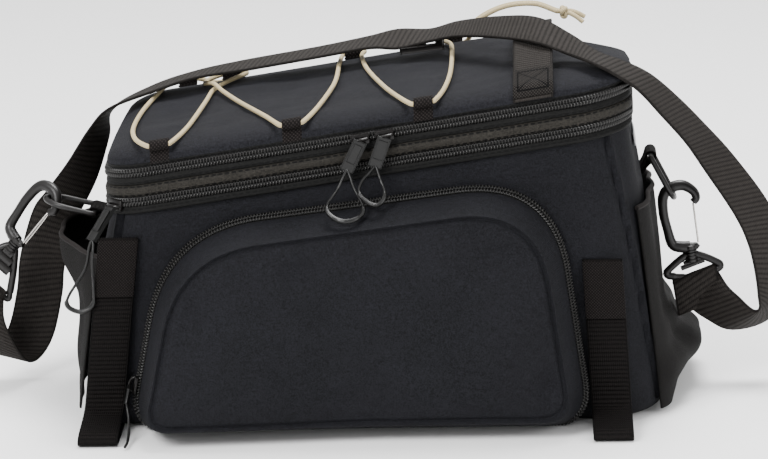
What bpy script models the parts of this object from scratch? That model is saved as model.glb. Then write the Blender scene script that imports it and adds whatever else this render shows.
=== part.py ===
"""Bicycle rack bag, standing on its base.

Metres, +Z up. +X runs along the bag to its taller end, -Y is the front.
The origin is the centre of the base's underside.
"""

import math

import bmesh
import bpy
from mathutils import Vector

# Body
BASE_HALF_LENGTH = 0.1820
RIM_HALF_LENGTH = 0.1615
BASE_HALF_DEPTH = 0.0980
RIM_HALF_DEPTH = 0.0920
RIM_HEIGHT = 0.1600
RIM_SLOPE = 0.1495
LEFT_RADIUS = 0.0240
RIGHT_RADIUS = 0.0360
BASE_EDGE = 0.0120
CLOTH = 0.0020
SEAM_GAP = 0.0003
PANEL_GAP = 0.0008
BASE_GAP = 0.0020
BOW = 0.0020
WALL_BULGE = 0.0030

# Bands round the top, and the lid
LOWER_ZIP_HEIGHT = 0.0115
BAND_HEIGHT = 0.0075
UPPER_ZIP_HEIGHT = 0.0110
ZIP_BULGE = 0.0008
LID_SHOULDER = 0.0550
LID_CROWN = 0.0115
LID_DROOP = 0.45

# Pockets on the front and the back
POCKET_DEPTH = 0.0280
POCKET_SAG = 0.0070
POCKET_SLOUCH = 0.0180
POCKET_TAPER = 0.0090
POCKET_BOTTOM = 0.0030
POCKET_ZIP_WIDTH = 0.0080

# Webbing and cord
WEBBING = 0.0016
RACK_STRAP_WIDTH = 0.0250
RACK_STRAP_TOP_LEFT = 0.1230
RACK_STRAP_TOP_RIGHT = 0.1060
HANDLE_WIDTH = 0.0250
HANDLE_LIFT = 0.0160
HANDLE_PLACE = 0.64
CORD_RADIUS = 0.0015
CORD_TAB_WIDTH = 0.0120
CORD_TAB_CLOTH = 0.0010
CORD_TAB_OUT = 0.0014
KNOT_RADIUS = 0.0045
SHOULDER_WIDTH = 0.0300
SHOULDER_CLOTH = 0.0018
HANG_REACH = 0.1000

# Metal and plastic at the two ends
RING_RADIUS = 0.0018
RING_LENGTH = 0.0325
RING_HALF_WIDTH = 0.0130
RING_TAB_WIDTH = 0.0200
HOOK_RADIUS = 0.0022
HOOK_LENGTH = 0.0490
GATE_RADIUS = 0.0009
GATE_LENGTH = 0.0255
EYE_RADIUS = 0.0019
EYE_HALF_WIDTH = 0.0180
STUD_RADIUS = 0.0042
POST_RADIUS = 0.0025

# Zip pulls
SLIDER_LENGTH = 0.0110
SLIDER_WIDTH = 0.0070
SLIDER_HEIGHT = 0.0028
PULL_TAB_WIDTH = 0.0080
PULL_TAB_CLOTH = 0.0016
PULL_CORD_RADIUS = 0.0011
PULL_REACH = 0.0300

# The two ends
REFLECTOR_CLOTH = 0.0008
END_POCKET_REACH = 0.0320

NAVY = (0.018, 0.020, 0.028)
OLIVE = (0.020, 0.020, 0.017)
BLACK = (0.008, 0.008, 0.008)
WEB = (0.016, 0.014, 0.013)
CREAM = (0.52, 0.46, 0.32)
PLASTIC = (0.020, 0.017, 0.017)
STEEL = (0.55, 0.54, 0.52)
SILVER = (0.45, 0.46, 0.47)

# Rounding of the lid: share of its shoulder from the edge, share of its crown
LID_PROFILE = ((0.0, 0.0), (0.006, 0.22), (0.055, 0.58), (0.17, 0.82), (0.46, 0.96), (1.0, 1.0))

# Sides of a pocket: share of its depth, share of its taper
POCKET_PROFILE = ((0.55, 0.45), (0.93, 0.95), (1.03, 1.9), (1.10, 4.6))

# A pocket's corners seen from the front: share of the rim's half length, share of its height
# above the base, and radius as a share of the rim's height
POCKET_CORNERS = (
    (-0.925, 0.019, 0.12),
    (-0.765, 0.895, 0.56),
    (0.7000, 0.890, 0.37),
    (0.835, 0.019, 0.14),
)


def clear_scene():
    for item in list(bpy.data.objects):
        bpy.data.objects.remove(item, do_unlink=True)


def finish(name, color, rough, metal=0.0):
    material = bpy.data.materials.new(name)
    material.use_nodes = True
    shader = material.node_tree.nodes["Principled BSDF"]
    shader.inputs["Base Color"].default_value = (*color, 1.0)
    shader.inputs["Roughness"].default_value = rough
    shader.inputs["Metallic"].default_value = metal
    return material


def add_object(name, mesh, look):
    """Put a mesh in the bag's collection, with a material of its own."""
    item = bpy.data.objects.new(name, mesh)
    mesh.materials.append(finish(name, *look))
    bag.objects.link(item)
    return item


def thicken(item, cloth, offset=-1.0):
    wall = item.modifiers.new("wall", "SOLIDIFY")
    wall.thickness = cloth
    wall.offset = offset
    wall.use_even_offset = True


def sheet(name, place, across, along, cloth, look, offset=-1.0, closed=False, cap=False):
    """Cloth: a grid bent by place(u, v), closed round in u and filled at v = 1 if asked."""
    shape = bmesh.new()
    bmesh.ops.create_grid(shape, x_segments=across, y_segments=along, size=1.0)
    for vert in shape.verts:
        vert.co = place((vert.co.x + 1) / 2, (vert.co.y + 1) / 2)
    if closed:
        top = place(0.0, 1.0)
        bmesh.ops.remove_doubles(shape, verts=shape.verts, dist=1e-6)
        if cap:
            edges = [edge for edge in shape.edges if edge.is_boundary]
            rim = edge_loop_at(edges, top)
            bmesh.ops.contextual_create(shape, geom=rim)
    mesh = bpy.data.meshes.new(name)
    shape.to_mesh(mesh)
    shape.free()
    item = add_object(name, mesh, look)
    thicken(item, cloth, offset)
    return item


def edge_loop_at(edges, point):
    """The edges of the open loop that passes through a point."""
    start = min(edges, key=lambda edge: min((v.co - point).length for v in edge.verts))
    loop = [start]
    corners = set(start.verts)
    grown = True
    while grown:
        grown = False
        for edge in edges:
            if edge not in loop and any(v in corners for v in edge.verts):
                loop.append(edge)
                corners.update(edge.verts)
                grown = True
    return loop


def tube(name, points, radius, look, closed=False, resolution=2):
    """A wire, rod or cord along points."""
    curve = bpy.data.curves.new(name, "CURVE")
    curve.dimensions = "3D"
    curve.bevel_depth = radius
    curve.bevel_resolution = resolution
    curve.use_fill_caps = not closed
    spline = curve.splines.new("POLY")
    spline.points.add(len(points) - 1)
    for knot, point in zip(spline.points, points):
        knot.co = (*point, 1.0)
    spline.use_cyclic_u = closed
    item = bpy.data.objects.new(name, curve)
    curve.materials.append(finish(name, *look))
    bag.objects.link(item)
    return item


def as_mesh(item):
    """Turn a curve object into a mesh object with welded caps."""
    name = item.name
    solid = bpy.data.meshes.new_from_object(item.evaluated_get(bpy.context.evaluated_depsgraph_get()))
    shape = bmesh.new()
    shape.from_mesh(solid)
    bmesh.ops.remove_doubles(shape, verts=shape.verts, dist=1e-6)
    shape.to_mesh(solid)
    shape.free()
    place = item.matrix_world.copy()
    bpy.data.objects.remove(item, do_unlink=True)
    made = bpy.data.objects.new(name, solid)
    made.matrix_world = place
    bag.objects.link(made)
    return made


def join_with(item, others):
    """Unite other solids with this one and put them away as cutters."""
    for other in others:
        union = item.modifiers.new("join " + other.name, "BOOLEAN")
        union.operation = "UNION"
        union.object = other
        bag.objects.unlink(other)
        cutters.objects.link(other)
        other.hide_render = True
        other.display_type = "WIRE"


def rod(name, start, end, radius, look, sides=12):
    """A round bar between two points, as a mesh."""
    start = Vector(start)
    run = Vector(end) - start
    shape = bmesh.new()
    bmesh.ops.create_cone(shape, cap_ends=True, segments=sides, radius1=radius, radius2=radius,
                          depth=run.length)
    turn = Vector((0, 0, 1)).rotation_difference(run).to_matrix().to_4x4()
    bmesh.ops.transform(shape, matrix=turn, verts=shape.verts)
    bmesh.ops.translate(shape, vec=start + run / 2, verts=shape.verts)
    mesh = bpy.data.meshes.new(name)
    shape.to_mesh(mesh)
    shape.free()
    return add_object(name, mesh, look)


def smooth_path(points, steps):
    """Points on a smooth curve through the given ones."""
    points = [Vector(point) for point in points]
    padded = [2 * points[0] - points[1], *points, 2 * points[-1] - points[-2]]
    path = []
    for i in range(len(points) - 1):
        before, start, end, after = padded[i:i + 4]
        for step in range(steps):
            t = step / steps
            path.append(0.5 * (2 * start + (end - before) * t
                               + (2 * before - 5 * start + 4 * end - after) * t ** 2
                               + (3 * start - before - 3 * end + after) * t ** 3))
    path.append(points[-1])
    return path


def rim_height(x):
    return RIM_HEIGHT + RIM_SLOPE * x


def half_sizes(t):
    """Half length and half depth of the body at a share t of the way up to its rim."""
    length = BASE_HALF_LENGTH + (RIM_HALF_LENGTH - BASE_HALF_LENGTH) * t
    depth = BASE_HALF_DEPTH + (RIM_HALF_DEPTH - BASE_HALF_DEPTH) * t
    return length, depth


def bowed(x, y, length, depth, t):
    """Push a point of the outline out, most at the middle of each side."""
    bulge = BOW + WALL_BULGE * max(0.0, math.sin(math.pi * min(max(t, 0.0), 1.0)))
    return (x + x / length * bulge * (1 - (y / depth) ** 2),
            y + y / depth * bulge * (1 - (x / length) ** 2))


def body_point(x, y, t):
    length, depth = half_sizes(t)
    x, y = bowed(x, y, length, depth, t)
    return Vector((x, y, BASE_EDGE + t * (rim_height(x) - BASE_EDGE)))


def wall_y(x, z):
    """Distance of the front or back wall's outside from the middle at a place on it."""
    t = (z - BASE_EDGE) / (rim_height(x) - BASE_EDGE)
    length, depth = half_sizes(t)
    return bowed(x, depth, length, depth, t)[1]


def end_x(y, z, side):
    """Distance of an end wall's outside from the middle."""
    t = (z - BASE_EDGE) / (rim_height(side * RIM_HALF_LENGTH) - BASE_EDGE)
    length, depth = half_sizes(t)
    return bowed(length, y, length, depth, t)[0]


STRAIGHT_STEPS = 5
CORNER_STEPS = 4


def corner_radius(side):
    return RIGHT_RADIUS if side > 0 else LEFT_RADIUS


def ring_place(u, length, depth, grow=0.0):
    """Go round a rectangle with round corners, anticlockwise seen from above."""
    corners = ((1, -1), (1, 1), (-1, 1), (-1, -1))
    steps = STRAIGHT_STEPS + CORNER_STEPS
    index = round(u * 4 * steps) % (4 * steps)
    side, step = divmod(index, steps)
    sx, sy = corners[side]
    radius = corner_radius(sx) + grow
    inner = Vector((sx * (length - radius), sy * (depth - radius)))
    start_angle = math.radians(-90 + 90 * side)
    if step >= STRAIGHT_STEPS:
        angle = start_angle + math.radians(90) * (step - STRAIGHT_STEPS) / CORNER_STEPS
        point = inner + radius * Vector((math.cos(angle), math.sin(angle)))
        return point.x, point.y
    px, py = corners[side - 1]
    last = corner_radius(px) + grow
    outward = Vector((math.cos(start_angle), math.sin(start_angle)))
    before = Vector((px * (length - last), py * (depth - last))) + outward * last
    point = before.lerp(inner + outward * radius, step / STRAIGHT_STEPS)
    return point.x, point.y


END_STEPS = 2 * CORNER_STEPS + STRAIGHT_STEPS


def end_place(side, u, t, out=0.0):
    """A place on an end wall, from one seam round to the other, and at a distance out from it."""
    length, depth = half_sizes(t)
    radius = corner_radius(side)
    corner = CORNER_STEPS / END_STEPS
    angle = 0.0
    y = (depth - radius) * min(max((2 * u - 1) / (1 - 2 * corner), -1.0), 1.0)
    if u < corner:
        angle = -math.radians(90) * (1 - u / corner)
    elif u > 1 - corner:
        angle = math.radians(90) * (1 - (1 - u) / corner)
    x = length - radius + (radius + out) * math.cos(angle)
    y += (radius + out) * math.sin(angle)
    return body_point(side * x, side * y, t)


def make_base():
    def place(u, v):
        angle = math.radians(90) * v
        inset = BASE_EDGE * (1 - math.cos(angle))
        x, y = ring_place(1 - u, BASE_HALF_LENGTH - inset, BASE_HALF_DEPTH - inset)
        x, y = bowed(x, y, BASE_HALF_LENGTH, BASE_HALF_DEPTH, 0)
        return Vector((x, y, BASE_EDGE * (1 - math.sin(angle))))

    around = 4 * (STRAIGHT_STEPS + CORNER_STEPS)
    sheet("base_panel", place, around, 3, CLOTH, (BLACK, 0.8), closed=True, cap=True)


def make_walls():
    def low(t):
        return BASE_GAP / RIM_HEIGHT + t * (1 - (BASE_GAP + SEAM_GAP) / RIM_HEIGHT)

    def face(side):
        def place(u, v):
            t = low(v)
            length, depth = half_sizes(t)
            left = -(length - LEFT_RADIUS - PANEL_GAP)
            right = length - RIGHT_RADIUS - PANEL_GAP
            share = u if side < 0 else 1 - u
            x = left + (right - left) * share
            return body_point(x, side * depth, t)
        return place

    def end(side):
        return lambda u, v: end_place(side, u, low(v))

    sheet("front_panel", face(-1), 8, 6, CLOTH, (NAVY, 0.85))
    sheet("back_panel", face(1), 8, 6, CLOTH, (NAVY, 0.85))
    sheet("right_end_panel", end(1), END_STEPS, 6, CLOTH, (NAVY, 0.85))
    sheet("left_end_panel", end(-1), END_STEPS, 6, CLOTH, (NAVY, 0.85))


def band(name, low, high, bulge, look):
    """A closed band round the rim, between two heights above it."""
    def place(u, v):
        out = bulge * math.sin(math.pi * v)
        length = RIM_HALF_LENGTH + out
        depth = RIM_HALF_DEPTH + out
        x, y = ring_place(u, length, depth, out)
        x, y = bowed(x, y, length, depth, 1)
        return Vector((x, y, rim_height(x) + low + (high - low) * v))

    rows = 2 if bulge else 1
    sheet(name, place, 4 * (STRAIGHT_STEPS + CORNER_STEPS), rows, CLOTH, look, closed=True)


def band_top():
    return LOWER_ZIP_HEIGHT + BAND_HEIGHT + UPPER_ZIP_HEIGHT


def make_bands():
    middle = LOWER_ZIP_HEIGHT
    upper = middle + BAND_HEIGHT
    band("expander_zip", 0, middle - SEAM_GAP, ZIP_BULGE, (BLACK, 0.7))
    band("lid_band", middle, upper - SEAM_GAP, 0, (OLIVE, 0.8))
    band("lid_zip", upper, band_top() - SEAM_GAP, ZIP_BULGE, (BLACK, 0.7))


def lid_rise(inset):
    """Height of the lid's outside above its lower edge, at a distance in from the edge."""
    share = min(max(inset / LID_SHOULDER, 0.0), 1.0)
    for (near, low), (far, high) in zip(LID_PROFILE, LID_PROFILE[1:]):
        if share <= far:
            return LID_CROWN * (low + (high - low) * (share - near) / (far - near))
    return LID_CROWN


def lid_edge(x):
    return rim_height(x) + band_top()


def lid_slump(x):
    """The lid's padding sinks towards its taller end."""
    return 1 - LID_DROOP * max(0.0, x / RIM_HALF_LENGTH) ** 6


def lid_surface(x, y):
    bow = BOW * (1 - (x / RIM_HALF_LENGTH) ** 2)
    inset = min(RIM_HALF_LENGTH - abs(x), RIM_HALF_DEPTH + bow - abs(y))
    return lid_edge(x) + lid_rise(inset) * lid_slump(x)


def make_lid():
    rows = len(LID_PROFILE) - 1

    def place(u, v):
        near, rise = LID_PROFILE[round(v * rows)]
        inset = near * LID_SHOULDER
        length = RIM_HALF_LENGTH - inset
        depth = RIM_HALF_DEPTH - inset
        x, y = ring_place(u, length, depth)
        x, y = bowed(x, y, length, depth, 1)
        return Vector((x, y, lid_edge(x) + rise * LID_CROWN * lid_slump(x)))

    sheet("lid", place, 4 * (STRAIGHT_STEPS + CORNER_STEPS), rows, CLOTH, (NAVY, 0.85),
          closed=True, cap=True)


def inset_corners(corners, inset):
    """Move the sides of a convex outline inwards, and shrink its corner radii to suit."""
    moved = []
    for i, (x, z, radius) in enumerate(corners):
        here = Vector((x, z))
        normals = []
        for a, b in ((corners[i - 1], corners[i]), (corners[i], corners[(i + 1) % len(corners)])):
            run = (Vector(b[:2]) - Vector(a[:2])).normalized()
            normals.append(Vector((run.y, -run.x)))
        first, second = normals
        here += (first + second) * inset / (1 + first.dot(second))
        moved.append((here.x, here.y, max(radius - inset * 0.7, radius * 0.45)))
    return moved


def outline_points(corners, corner_steps, side_steps):
    """Points round an outline with round corners, starting at its first corner."""
    ends = []
    for i, (x, z, radius) in enumerate(corners):
        here = Vector((x, z))
        before = (Vector(corners[i - 1][:2]) - here).normalized()
        after = (Vector(corners[(i + 1) % len(corners)][:2]) - here).normalized()
        reach = radius / math.tan(before.angle(after) / 2)
        ends.append((here + before * reach, here, here + after * reach))
    points = []
    for i, (start, here, stop) in enumerate(ends):
        for step in range(corner_steps):
            t = step / corner_steps
            # a round corner as a quadratic curve between the two tangent points
            points.append(start * (1 - t) ** 2 + here * 2 * t * (1 - t) + stop * t ** 2)
        following = ends[(i + 1) % len(ends)][0]
        for step in range(side_steps):
            points.append(stop.lerp(following, step / side_steps))
    return points


POCKET_CORNER_STEPS = 5
POCKET_SIDE_STEPS = 2


def pocket_corners():
    """The pocket's corners on the wall, left to right as seen from the front."""
    corners = []
    for along, up, radius in POCKET_CORNERS:
        x = along * RIM_HALF_LENGTH
        z = POCKET_BOTTOM + (up - POCKET_CORNERS[0][1]) * rim_height(x)
        corners.append((x, z, radius * RIM_HEIGHT))
    return corners


def pocket_point(side, index, inset, depth):
    points = outline_points(inset_corners(pocket_corners(), inset), POCKET_CORNER_STEPS,
                            POCKET_SIDE_STEPS)
    x, z = points[index % len(points)]
    return Vector((x, side * (wall_y(x, z) + depth), z))


def make_pocket(side, name):
    around = 4 * (POCKET_CORNER_STEPS + POCKET_SIDE_STEPS)
    rows = len(POCKET_PROFILE)
    zip_end = POCKET_ZIP_WIDTH + SEAM_GAP

    def depth_at(x, z):
        low = max(0.0, 1 - z / RIM_HEIGHT)
        slouch = POCKET_SLOUCH * max(0.0, -x / RIM_HALF_LENGTH) * low ** 2
        return POCKET_DEPTH + POCKET_SAG * low + slouch

    def turn(u):
        return round((1 - u if side > 0 else u) * around)

    def shell(u, v):
        row = round(v * rows)
        share, taper = (0.0, 0.0) if row == 0 else POCKET_PROFILE[row - 1]
        flat = pocket_point(side, turn(u), taper * POCKET_TAPER, 0.0)
        depth = zip_end + (depth_at(flat.x, flat.z) - zip_end) * share
        return flat + Vector((0, side * depth, 0))

    def zip_band(u, v):
        return pocket_point(side, turn(u), 0.0, SEAM_GAP + (POCKET_ZIP_WIDTH - SEAM_GAP) * v)

    sheet(name, shell, around, rows, CLOTH, (NAVY, 0.85), closed=True, cap=True)
    sheet(name + "_zip", zip_band, around, 1, CLOTH, (BLACK, 0.7), closed=True)


# An end pocket from its foot to its rim: share of the wall's height, and how far it stands out
# in its middle as a share of its reach
END_POCKET_ROWS = {
    "right": ((-0.045, 0.12), (-0.010, 0.30), (0.020, 0.42), (0.055, 0.66), (0.090, 0.74),
              (0.120, 0.64), (0.160, 0.34), (0.220, 0.24), (0.275, 0.08), (0.360, 0.05),
              (0.500, 0.06), (0.620, 0.08), (0.700, 0.10)),
    "left": ((-0.040, 0.10), (0.060, 0.22), (0.200, 0.27), (0.340, 0.28), (0.440, 0.34),
             (0.520, 0.52), (0.610, 0.77), (0.700, 0.90), (0.755, 0.93)),
}
# Seam of an end pocket, as a share of the way round the end wall, and where it bulges most
END_POCKET_SEAM = 0.17
END_POCKET_LEAN = {"right": -0.45, "left": 0.3}


def make_end_pockets():
    for side, name in ((1, "right"), (-1, "left")):
        rows = END_POCKET_ROWS[name]
        lean = END_POCKET_LEAN[name]

        def place(u, v, side=side, rows=rows, lean=lean):
            t, share = rows[round(v * (len(rows) - 1))]
            across = math.sin(math.pi * u) ** 0.7 * (1 + lean * (2 * u - 1))
            out = SEAM_GAP + CLOTH + END_POCKET_REACH * share * across
            return end_place(side, END_POCKET_SEAM + (1 - 2 * END_POCKET_SEAM) * u, t, out)

        sheet("end_pocket_" + name, place, 9, len(rows) - 1, CLOTH, (NAVY, 0.85))


def make_reflector():
    def place(u, v):
        along = (CORNER_STEPS + STRAIGHT_STEPS * u) / END_STEPS
        return end_place(1, along, 0.885 + 0.045 * v, SEAM_GAP + REFLECTOR_CLOTH)

    sheet("reflector_strip", place, STRAIGHT_STEPS, 1, REFLECTOR_CLOTH, (SILVER, 0.5))


# Run of a rack strap from its sewn top to its end under the bag:
# share of the strap's height, or height in cloths where it lies low, and reach out from the wall
RACK_STRAP_RUN = (
    (1.00, 0.0011), (0.80, 0.0015), (0.55, 0.0032), (0.30, 0.0042), (0.165, 0.0050),
    (0.115, 0.0110), (0.085, 0.0240), (0.066, 0.0360), (0.036, 0.0400), (0.012, 0.0370),
    (0.0085, 0.0290), (0.0085, 0.0120), (0.0120, 0.0000), (0.0180, -0.0035),
)


def make_rack_straps():
    # top height, and place at the top and at the foot as shares of the half length
    straps = (("left", RACK_STRAP_TOP_LEFT, -0.960, -1.045),
              ("right", RACK_STRAP_TOP_RIGHT, 0.895, 0.930))
    for depth_name, side in (("front", -1), ("back", 1)):
        for name, height, top, foot in straps:
            def place(u, v, side=side, height=height, top=top, foot=foot):
                up, out = RACK_STRAP_RUN[round(v * (len(RACK_STRAP_RUN) - 1))]
                centre = (foot + (top - foot) * up) * RIM_HALF_LENGTH
                x = centre - side * (u - 0.5) * RACK_STRAP_WIDTH
                z = up * height
                t = max(z - BASE_EDGE, 0.0) / (rim_height(x) - BASE_EDGE)
                near = min(abs(x), half_sizes(t)[0] - corner_radius(x))
                y = wall_y(math.copysign(near, x), max(z, BASE_EDGE))
                return Vector((x, side * (y + out), z))
            sheet("rack_strap_" + depth_name + "_" + name, place, 1, len(RACK_STRAP_RUN) - 1,
                  WEBBING, (WEB, 0.8), offset=0.0)


def make_handle():
    clear = WEBBING / 2 + 2 * SEAM_GAP
    arch_foot = RIM_HALF_DEPTH - 0.16 * LID_SHOULDER
    # foot of the handle: reach in from the lid's edge as a share of the shoulder, share of crown
    foot = ((-0.004, 0.10), (-0.002, 0.30), (0.055, 0.60), (0.17, 0.84))
    arch_steps = 12
    steps = 2 * len(foot) + arch_steps - 1

    def place(u, v):
        x = HANDLE_PLACE * RIM_HALF_LENGTH + (u - 0.5) * HANDLE_WIDTH
        step = round(v * steps)
        side = -1 if step < len(foot) + arch_steps / 2 else 1
        near = min(step, steps - step)
        edge = RIM_HALF_DEPTH + BOW * (1 - (x / RIM_HALF_LENGTH) ** 2)
        if near < len(foot):
            inset, rise = foot[near]
            out = clear if near < 2 else clear * 0.7
            lift = 0.0 if near < 2 else clear * 0.8
            return Vector((x, side * (edge - inset * LID_SHOULDER + out),
                           lid_edge(x) + rise * LID_CROWN + lift))
        share = (step - len(foot) + 1) / (arch_steps + 1)
        y = arch_foot * (2 * share - 1)
        arch = HANDLE_LIFT * (1 - (y / arch_foot) ** 2) ** 1.3
        return Vector((x, y, lid_surface(x, y) + clear + 0.001 + arch))

    sheet("carry_handle", place, 2, steps, WEBBING, (WEB, 0.8), offset=0.0)


def tab_loop(name, root, bar, bar_radius, wide, wall, cloth, look, gap=0.0004):
    """A folded tab: out from its root, round a bar and back."""
    root = Vector(root)
    bar = Vector(bar)
    wide = Vector(wide)
    run = bar - root
    reach = run.normalized()
    up = wide.normalized().cross(reach)
    turn = bar_radius + gap + cloth / 2
    near = cloth / 2 + gap / 2
    # start far enough out for the tab's square end to clear the wall it is sewn to
    lean = abs(reach.dot(wall))
    root = root + reach * (SEAM_GAP * 2 + (near + cloth / 2) * math.sqrt(1 - lean ** 2)) / lean
    path = [root + up * near]
    for step in range(7):
        angle = math.radians(110 - 220 * step / 6)
        path.append(bar + (up * math.sin(angle) + reach * math.cos(angle)) * turn)
    path.append(root - up * near)

    def place(u, v):
        return path[round(v * (len(path) - 1))] + wide * (u - 0.5)

    return sheet(name, place, 1, len(path) - 1, cloth, look, offset=0.0)


# Places of the cord's tabs along the lid's edges, as shares of the half length
CORD_TABS_FRONT = (-0.79, -0.280, 0.222)
CORD_TABS_BACK = (-0.78, -0.60, -0.095, 0.315)
TAB_RISE = 0.95


def cord_anchor(share, side):
    """Middle of the cord where it passes through a tab."""
    x = share * RIM_HALF_LENGTH
    y = RIM_HALF_DEPTH + BOW * (1 - share ** 2) + CORD_TAB_OUT
    return Vector((x, side * y, lid_edge(x) + TAB_RISE * LID_CROWN))


def make_cord_tabs():
    for side, places, row in ((-1, CORD_TABS_FRONT, "front"), (1, CORD_TABS_BACK, "back")):
        for i, share in enumerate(places):
            bar = cord_anchor(share, side)
            foot = RIM_HALF_DEPTH + BOW * (1 - share ** 2) + CORD_TAB_CLOTH + 2 * SEAM_GAP
            root = Vector((bar.x, side * foot, lid_edge(bar.x)))
            tab_loop("cord_tab_%s_%d" % (row, i + 1), root, bar, CORD_RADIUS,
                     (CORD_TAB_WIDTH, 0, CORD_TAB_WIDTH * RIM_SLOPE), Vector((0, 0, 1)),
                     CORD_TAB_CLOTH, (WEB, 0.8), gap=0.0006)


# The elastic cord's route over the lid: shares of the rim's half length, of its half depth and,
# above the lid there, of the crown. A row with a name goes through that tab, right or left.
CORD_ROUTE = (
    (0.7368, 0.9348, 1.565), (0.6440, 0.9239, 1.870), (0.5201, 0.9239, 1.652),
    (0.4087, 0.9565, 1.043),
    ("back", 3, -1),
    (0.2477, 0.9130, 0.261), (0.2972, 0.6957, 0.243), (0.3158, 0.4348, 0.209),
    (0.3189, -0.3261, 0.191), (0.3003, -0.8043, 0.174),
    ("front", 2, -1),
    (0.1238, -0.8261, 0.174), (0.0619, -0.4565, 0.174), (-0.0186, 0.2174, 0.174),
    (-0.0557, 0.7609, 0.174),
    ("back", 2, -1),
    (-0.1424, 0.6087, 0.174), (-0.1424, -0.0543, 0.174), (-0.1858, -0.7391, 0.174),
    ("front", 1, -1),
    (-0.3963, -0.7500, 0.174), (-0.5139, -0.1957, 0.174), (-0.5975, 0.2174, 0.261),
    (-0.6471, 0.4348, 0.470), (-0.6935, 0.6739, 0.174), (-0.6873, 0.9239, 0.183),
    ("back", 1, 1),
    (-0.5325, 0.8696, 0.174), (-0.5882, 0.6522, 0.174), (-0.6440, 0.4130, 0.157),
    (-0.6594, 0.0000, 0.174), (-0.6935, -0.7174, 0.174),
    ("front", 0, -1),
    (-0.8916, -0.8261, 0.191), (-0.9226, -0.4348, 0.226), (-0.9164, 0.1087, 0.209),
    (-0.8793, 0.6522, 0.191), (-0.8669, 0.9348, 0.226),
    ("back", 0, 1),
)
# From its last tab the cord runs back along the lid's rear edge, outside the other tabs:
# x, reach out from the edge and height above the lid's lower edge
CORD_RETURN = (
    (-0.6687, 0.5043, 0.5217), (-0.5820, 0.5739, 0.4000), (-0.3096, 0.5739, 0.3826),
    (0.0000, 0.5739, 0.3826), (0.2786, 0.5739, 0.4000), (0.3715, 0.5739, 0.5391),
)
# Gap between the two strands that meet in the knot
STRAND_GAP = 0.0038


def tab_middle(row):
    places, side = {"front": (CORD_TABS_FRONT, -1), "back": (CORD_TABS_BACK, 1)}[row[0]]
    return cord_anchor(places[row[1]], side)


def cord_points():
    """The cord's route from the knot and back to it, and which of its points lie in tabs."""
    points = []
    fixed = set()
    for row in CORD_ROUTE:
        if isinstance(row[0], str):
            lead = Vector((1, 0, RIM_SLOPE)) * CORD_TAB_WIDTH * row[2]
            middle = tab_middle(row)
            fixed.update(range(len(points), len(points) + 4))
            points += [middle + lead * share for share in (-0.85, -0.57, 0.57, 0.85)]
        else:
            x, y, lift = row[0] * RIM_HALF_LENGTH, row[1] * RIM_HALF_DEPTH, row[2] * LID_CROWN
            points.append(Vector((x, y, lid_surface(x, y) + lift)))
    for along, out, up in CORD_RETURN:
        x = along * RIM_HALF_LENGTH
        edge = RIM_HALF_DEPTH + BOW * (1 - along ** 2)
        points.append(Vector((x, edge + out * LID_CROWN, lid_edge(x) + up * LID_CROWN)))
    for point in reversed(points[:4]):
        points.append(point + Vector((0.0, STRAND_GAP, 0.0)))
    return points, fixed


def thin_path(points, count, fixed):
    """Fewer points along the same path, closer together where it bends. Fixed ones stay."""
    kept = list(enumerate(points))
    while len(kept) > count:
        costs = []
        for i in range(1, len(kept) - 1):
            if kept[i][0] not in fixed:
                before, here, after = (row[1] for row in kept[i - 1:i + 2])
                costs.append(((after - before).length * (here - (before + after) / 2).length, i))
        kept.pop(min(costs)[1])
    return [row[1] for row in kept]


def make_cord():
    points, fixed = cord_points()
    path = thin_path(smooth_path(points, 3), 92, {3 * i for i in fixed})
    tube("elastic_cord", path, CORD_RADIUS, (CREAM, 0.7), resolution=1)
    middle = (points[0] + points[-1]) / 2 + Vector((KNOT_RADIUS + SEAM_GAP, 0, -0.0006))
    shape = bmesh.new()
    bmesh.ops.create_uvsphere(shape, u_segments=10, v_segments=6, radius=KNOT_RADIUS)
    bmesh.ops.translate(shape, vec=middle, verts=shape.verts)
    mesh = bpy.data.meshes.new("cord_knot")
    shape.to_mesh(mesh)
    shape.free()
    knot = add_object("cord_knot", mesh, (CREAM, 0.7))
    tails = []
    for i, tail in enumerate((Vector((0.0125, -0.0060, -0.0060)), Vector((0.0135, 0.0015, -0.0040)))):
        tails.append(rod("knot_tail_%d" % i, middle, middle + tail, CORD_RADIUS, (CREAM, 0.7), 6))
    join_with(knot, tails)


def end_anchor(side):
    """Where the ring's tab is sewn on an end, and the height share it lies at."""
    share = 0.76 if side > 0 else 0.87
    height = share * rim_height(side * RIM_HALF_LENGTH)
    return Vector((side * end_x(0.0, height, side), 0.0, height))


# Pose of the ring, hook and eye at each end: the ring's run and the hook's run (shares out and
# up), the hook's side direction, the stud's and slot's places out and up from the sewn tab as
# shares of the hanging reach, and where the hook holds the ring as shares of the hook's length
END_POSES = {
    1: {"name": "right", "ring": (0.46, -0.89), "hook": (0.125, -0.99), "stud": (0.325, -0.595),
        "across": Vector((1.0, 0.0, 0.12)), "slot": (0.34, -0.69), "caught": (0.85, -0.12)},
    -1: {"name": "left", "ring": (0.97, 0.25), "hook": (0.64, -0.77), "stud": (0.69, -0.26),
         "across": Vector((0.631, -0.574, -0.524)), "slot": (0.83, -0.45),
         "caught": (0.85, -0.06)},
}


def from_tab(side, out, up):
    return end_anchor(side) + Vector((side * out, 0, up)) * HANG_REACH


def wall_normal(side):
    """The end wall's outward direction where the ring's tab is sewn."""
    height = end_anchor(side).z
    step = SEAM_GAP
    fall = (end_x(0.0, height + step, side) - end_x(0.0, height - step, side)) / (2 * step)
    return Vector((side, 0, -fall)).normalized()


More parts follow.
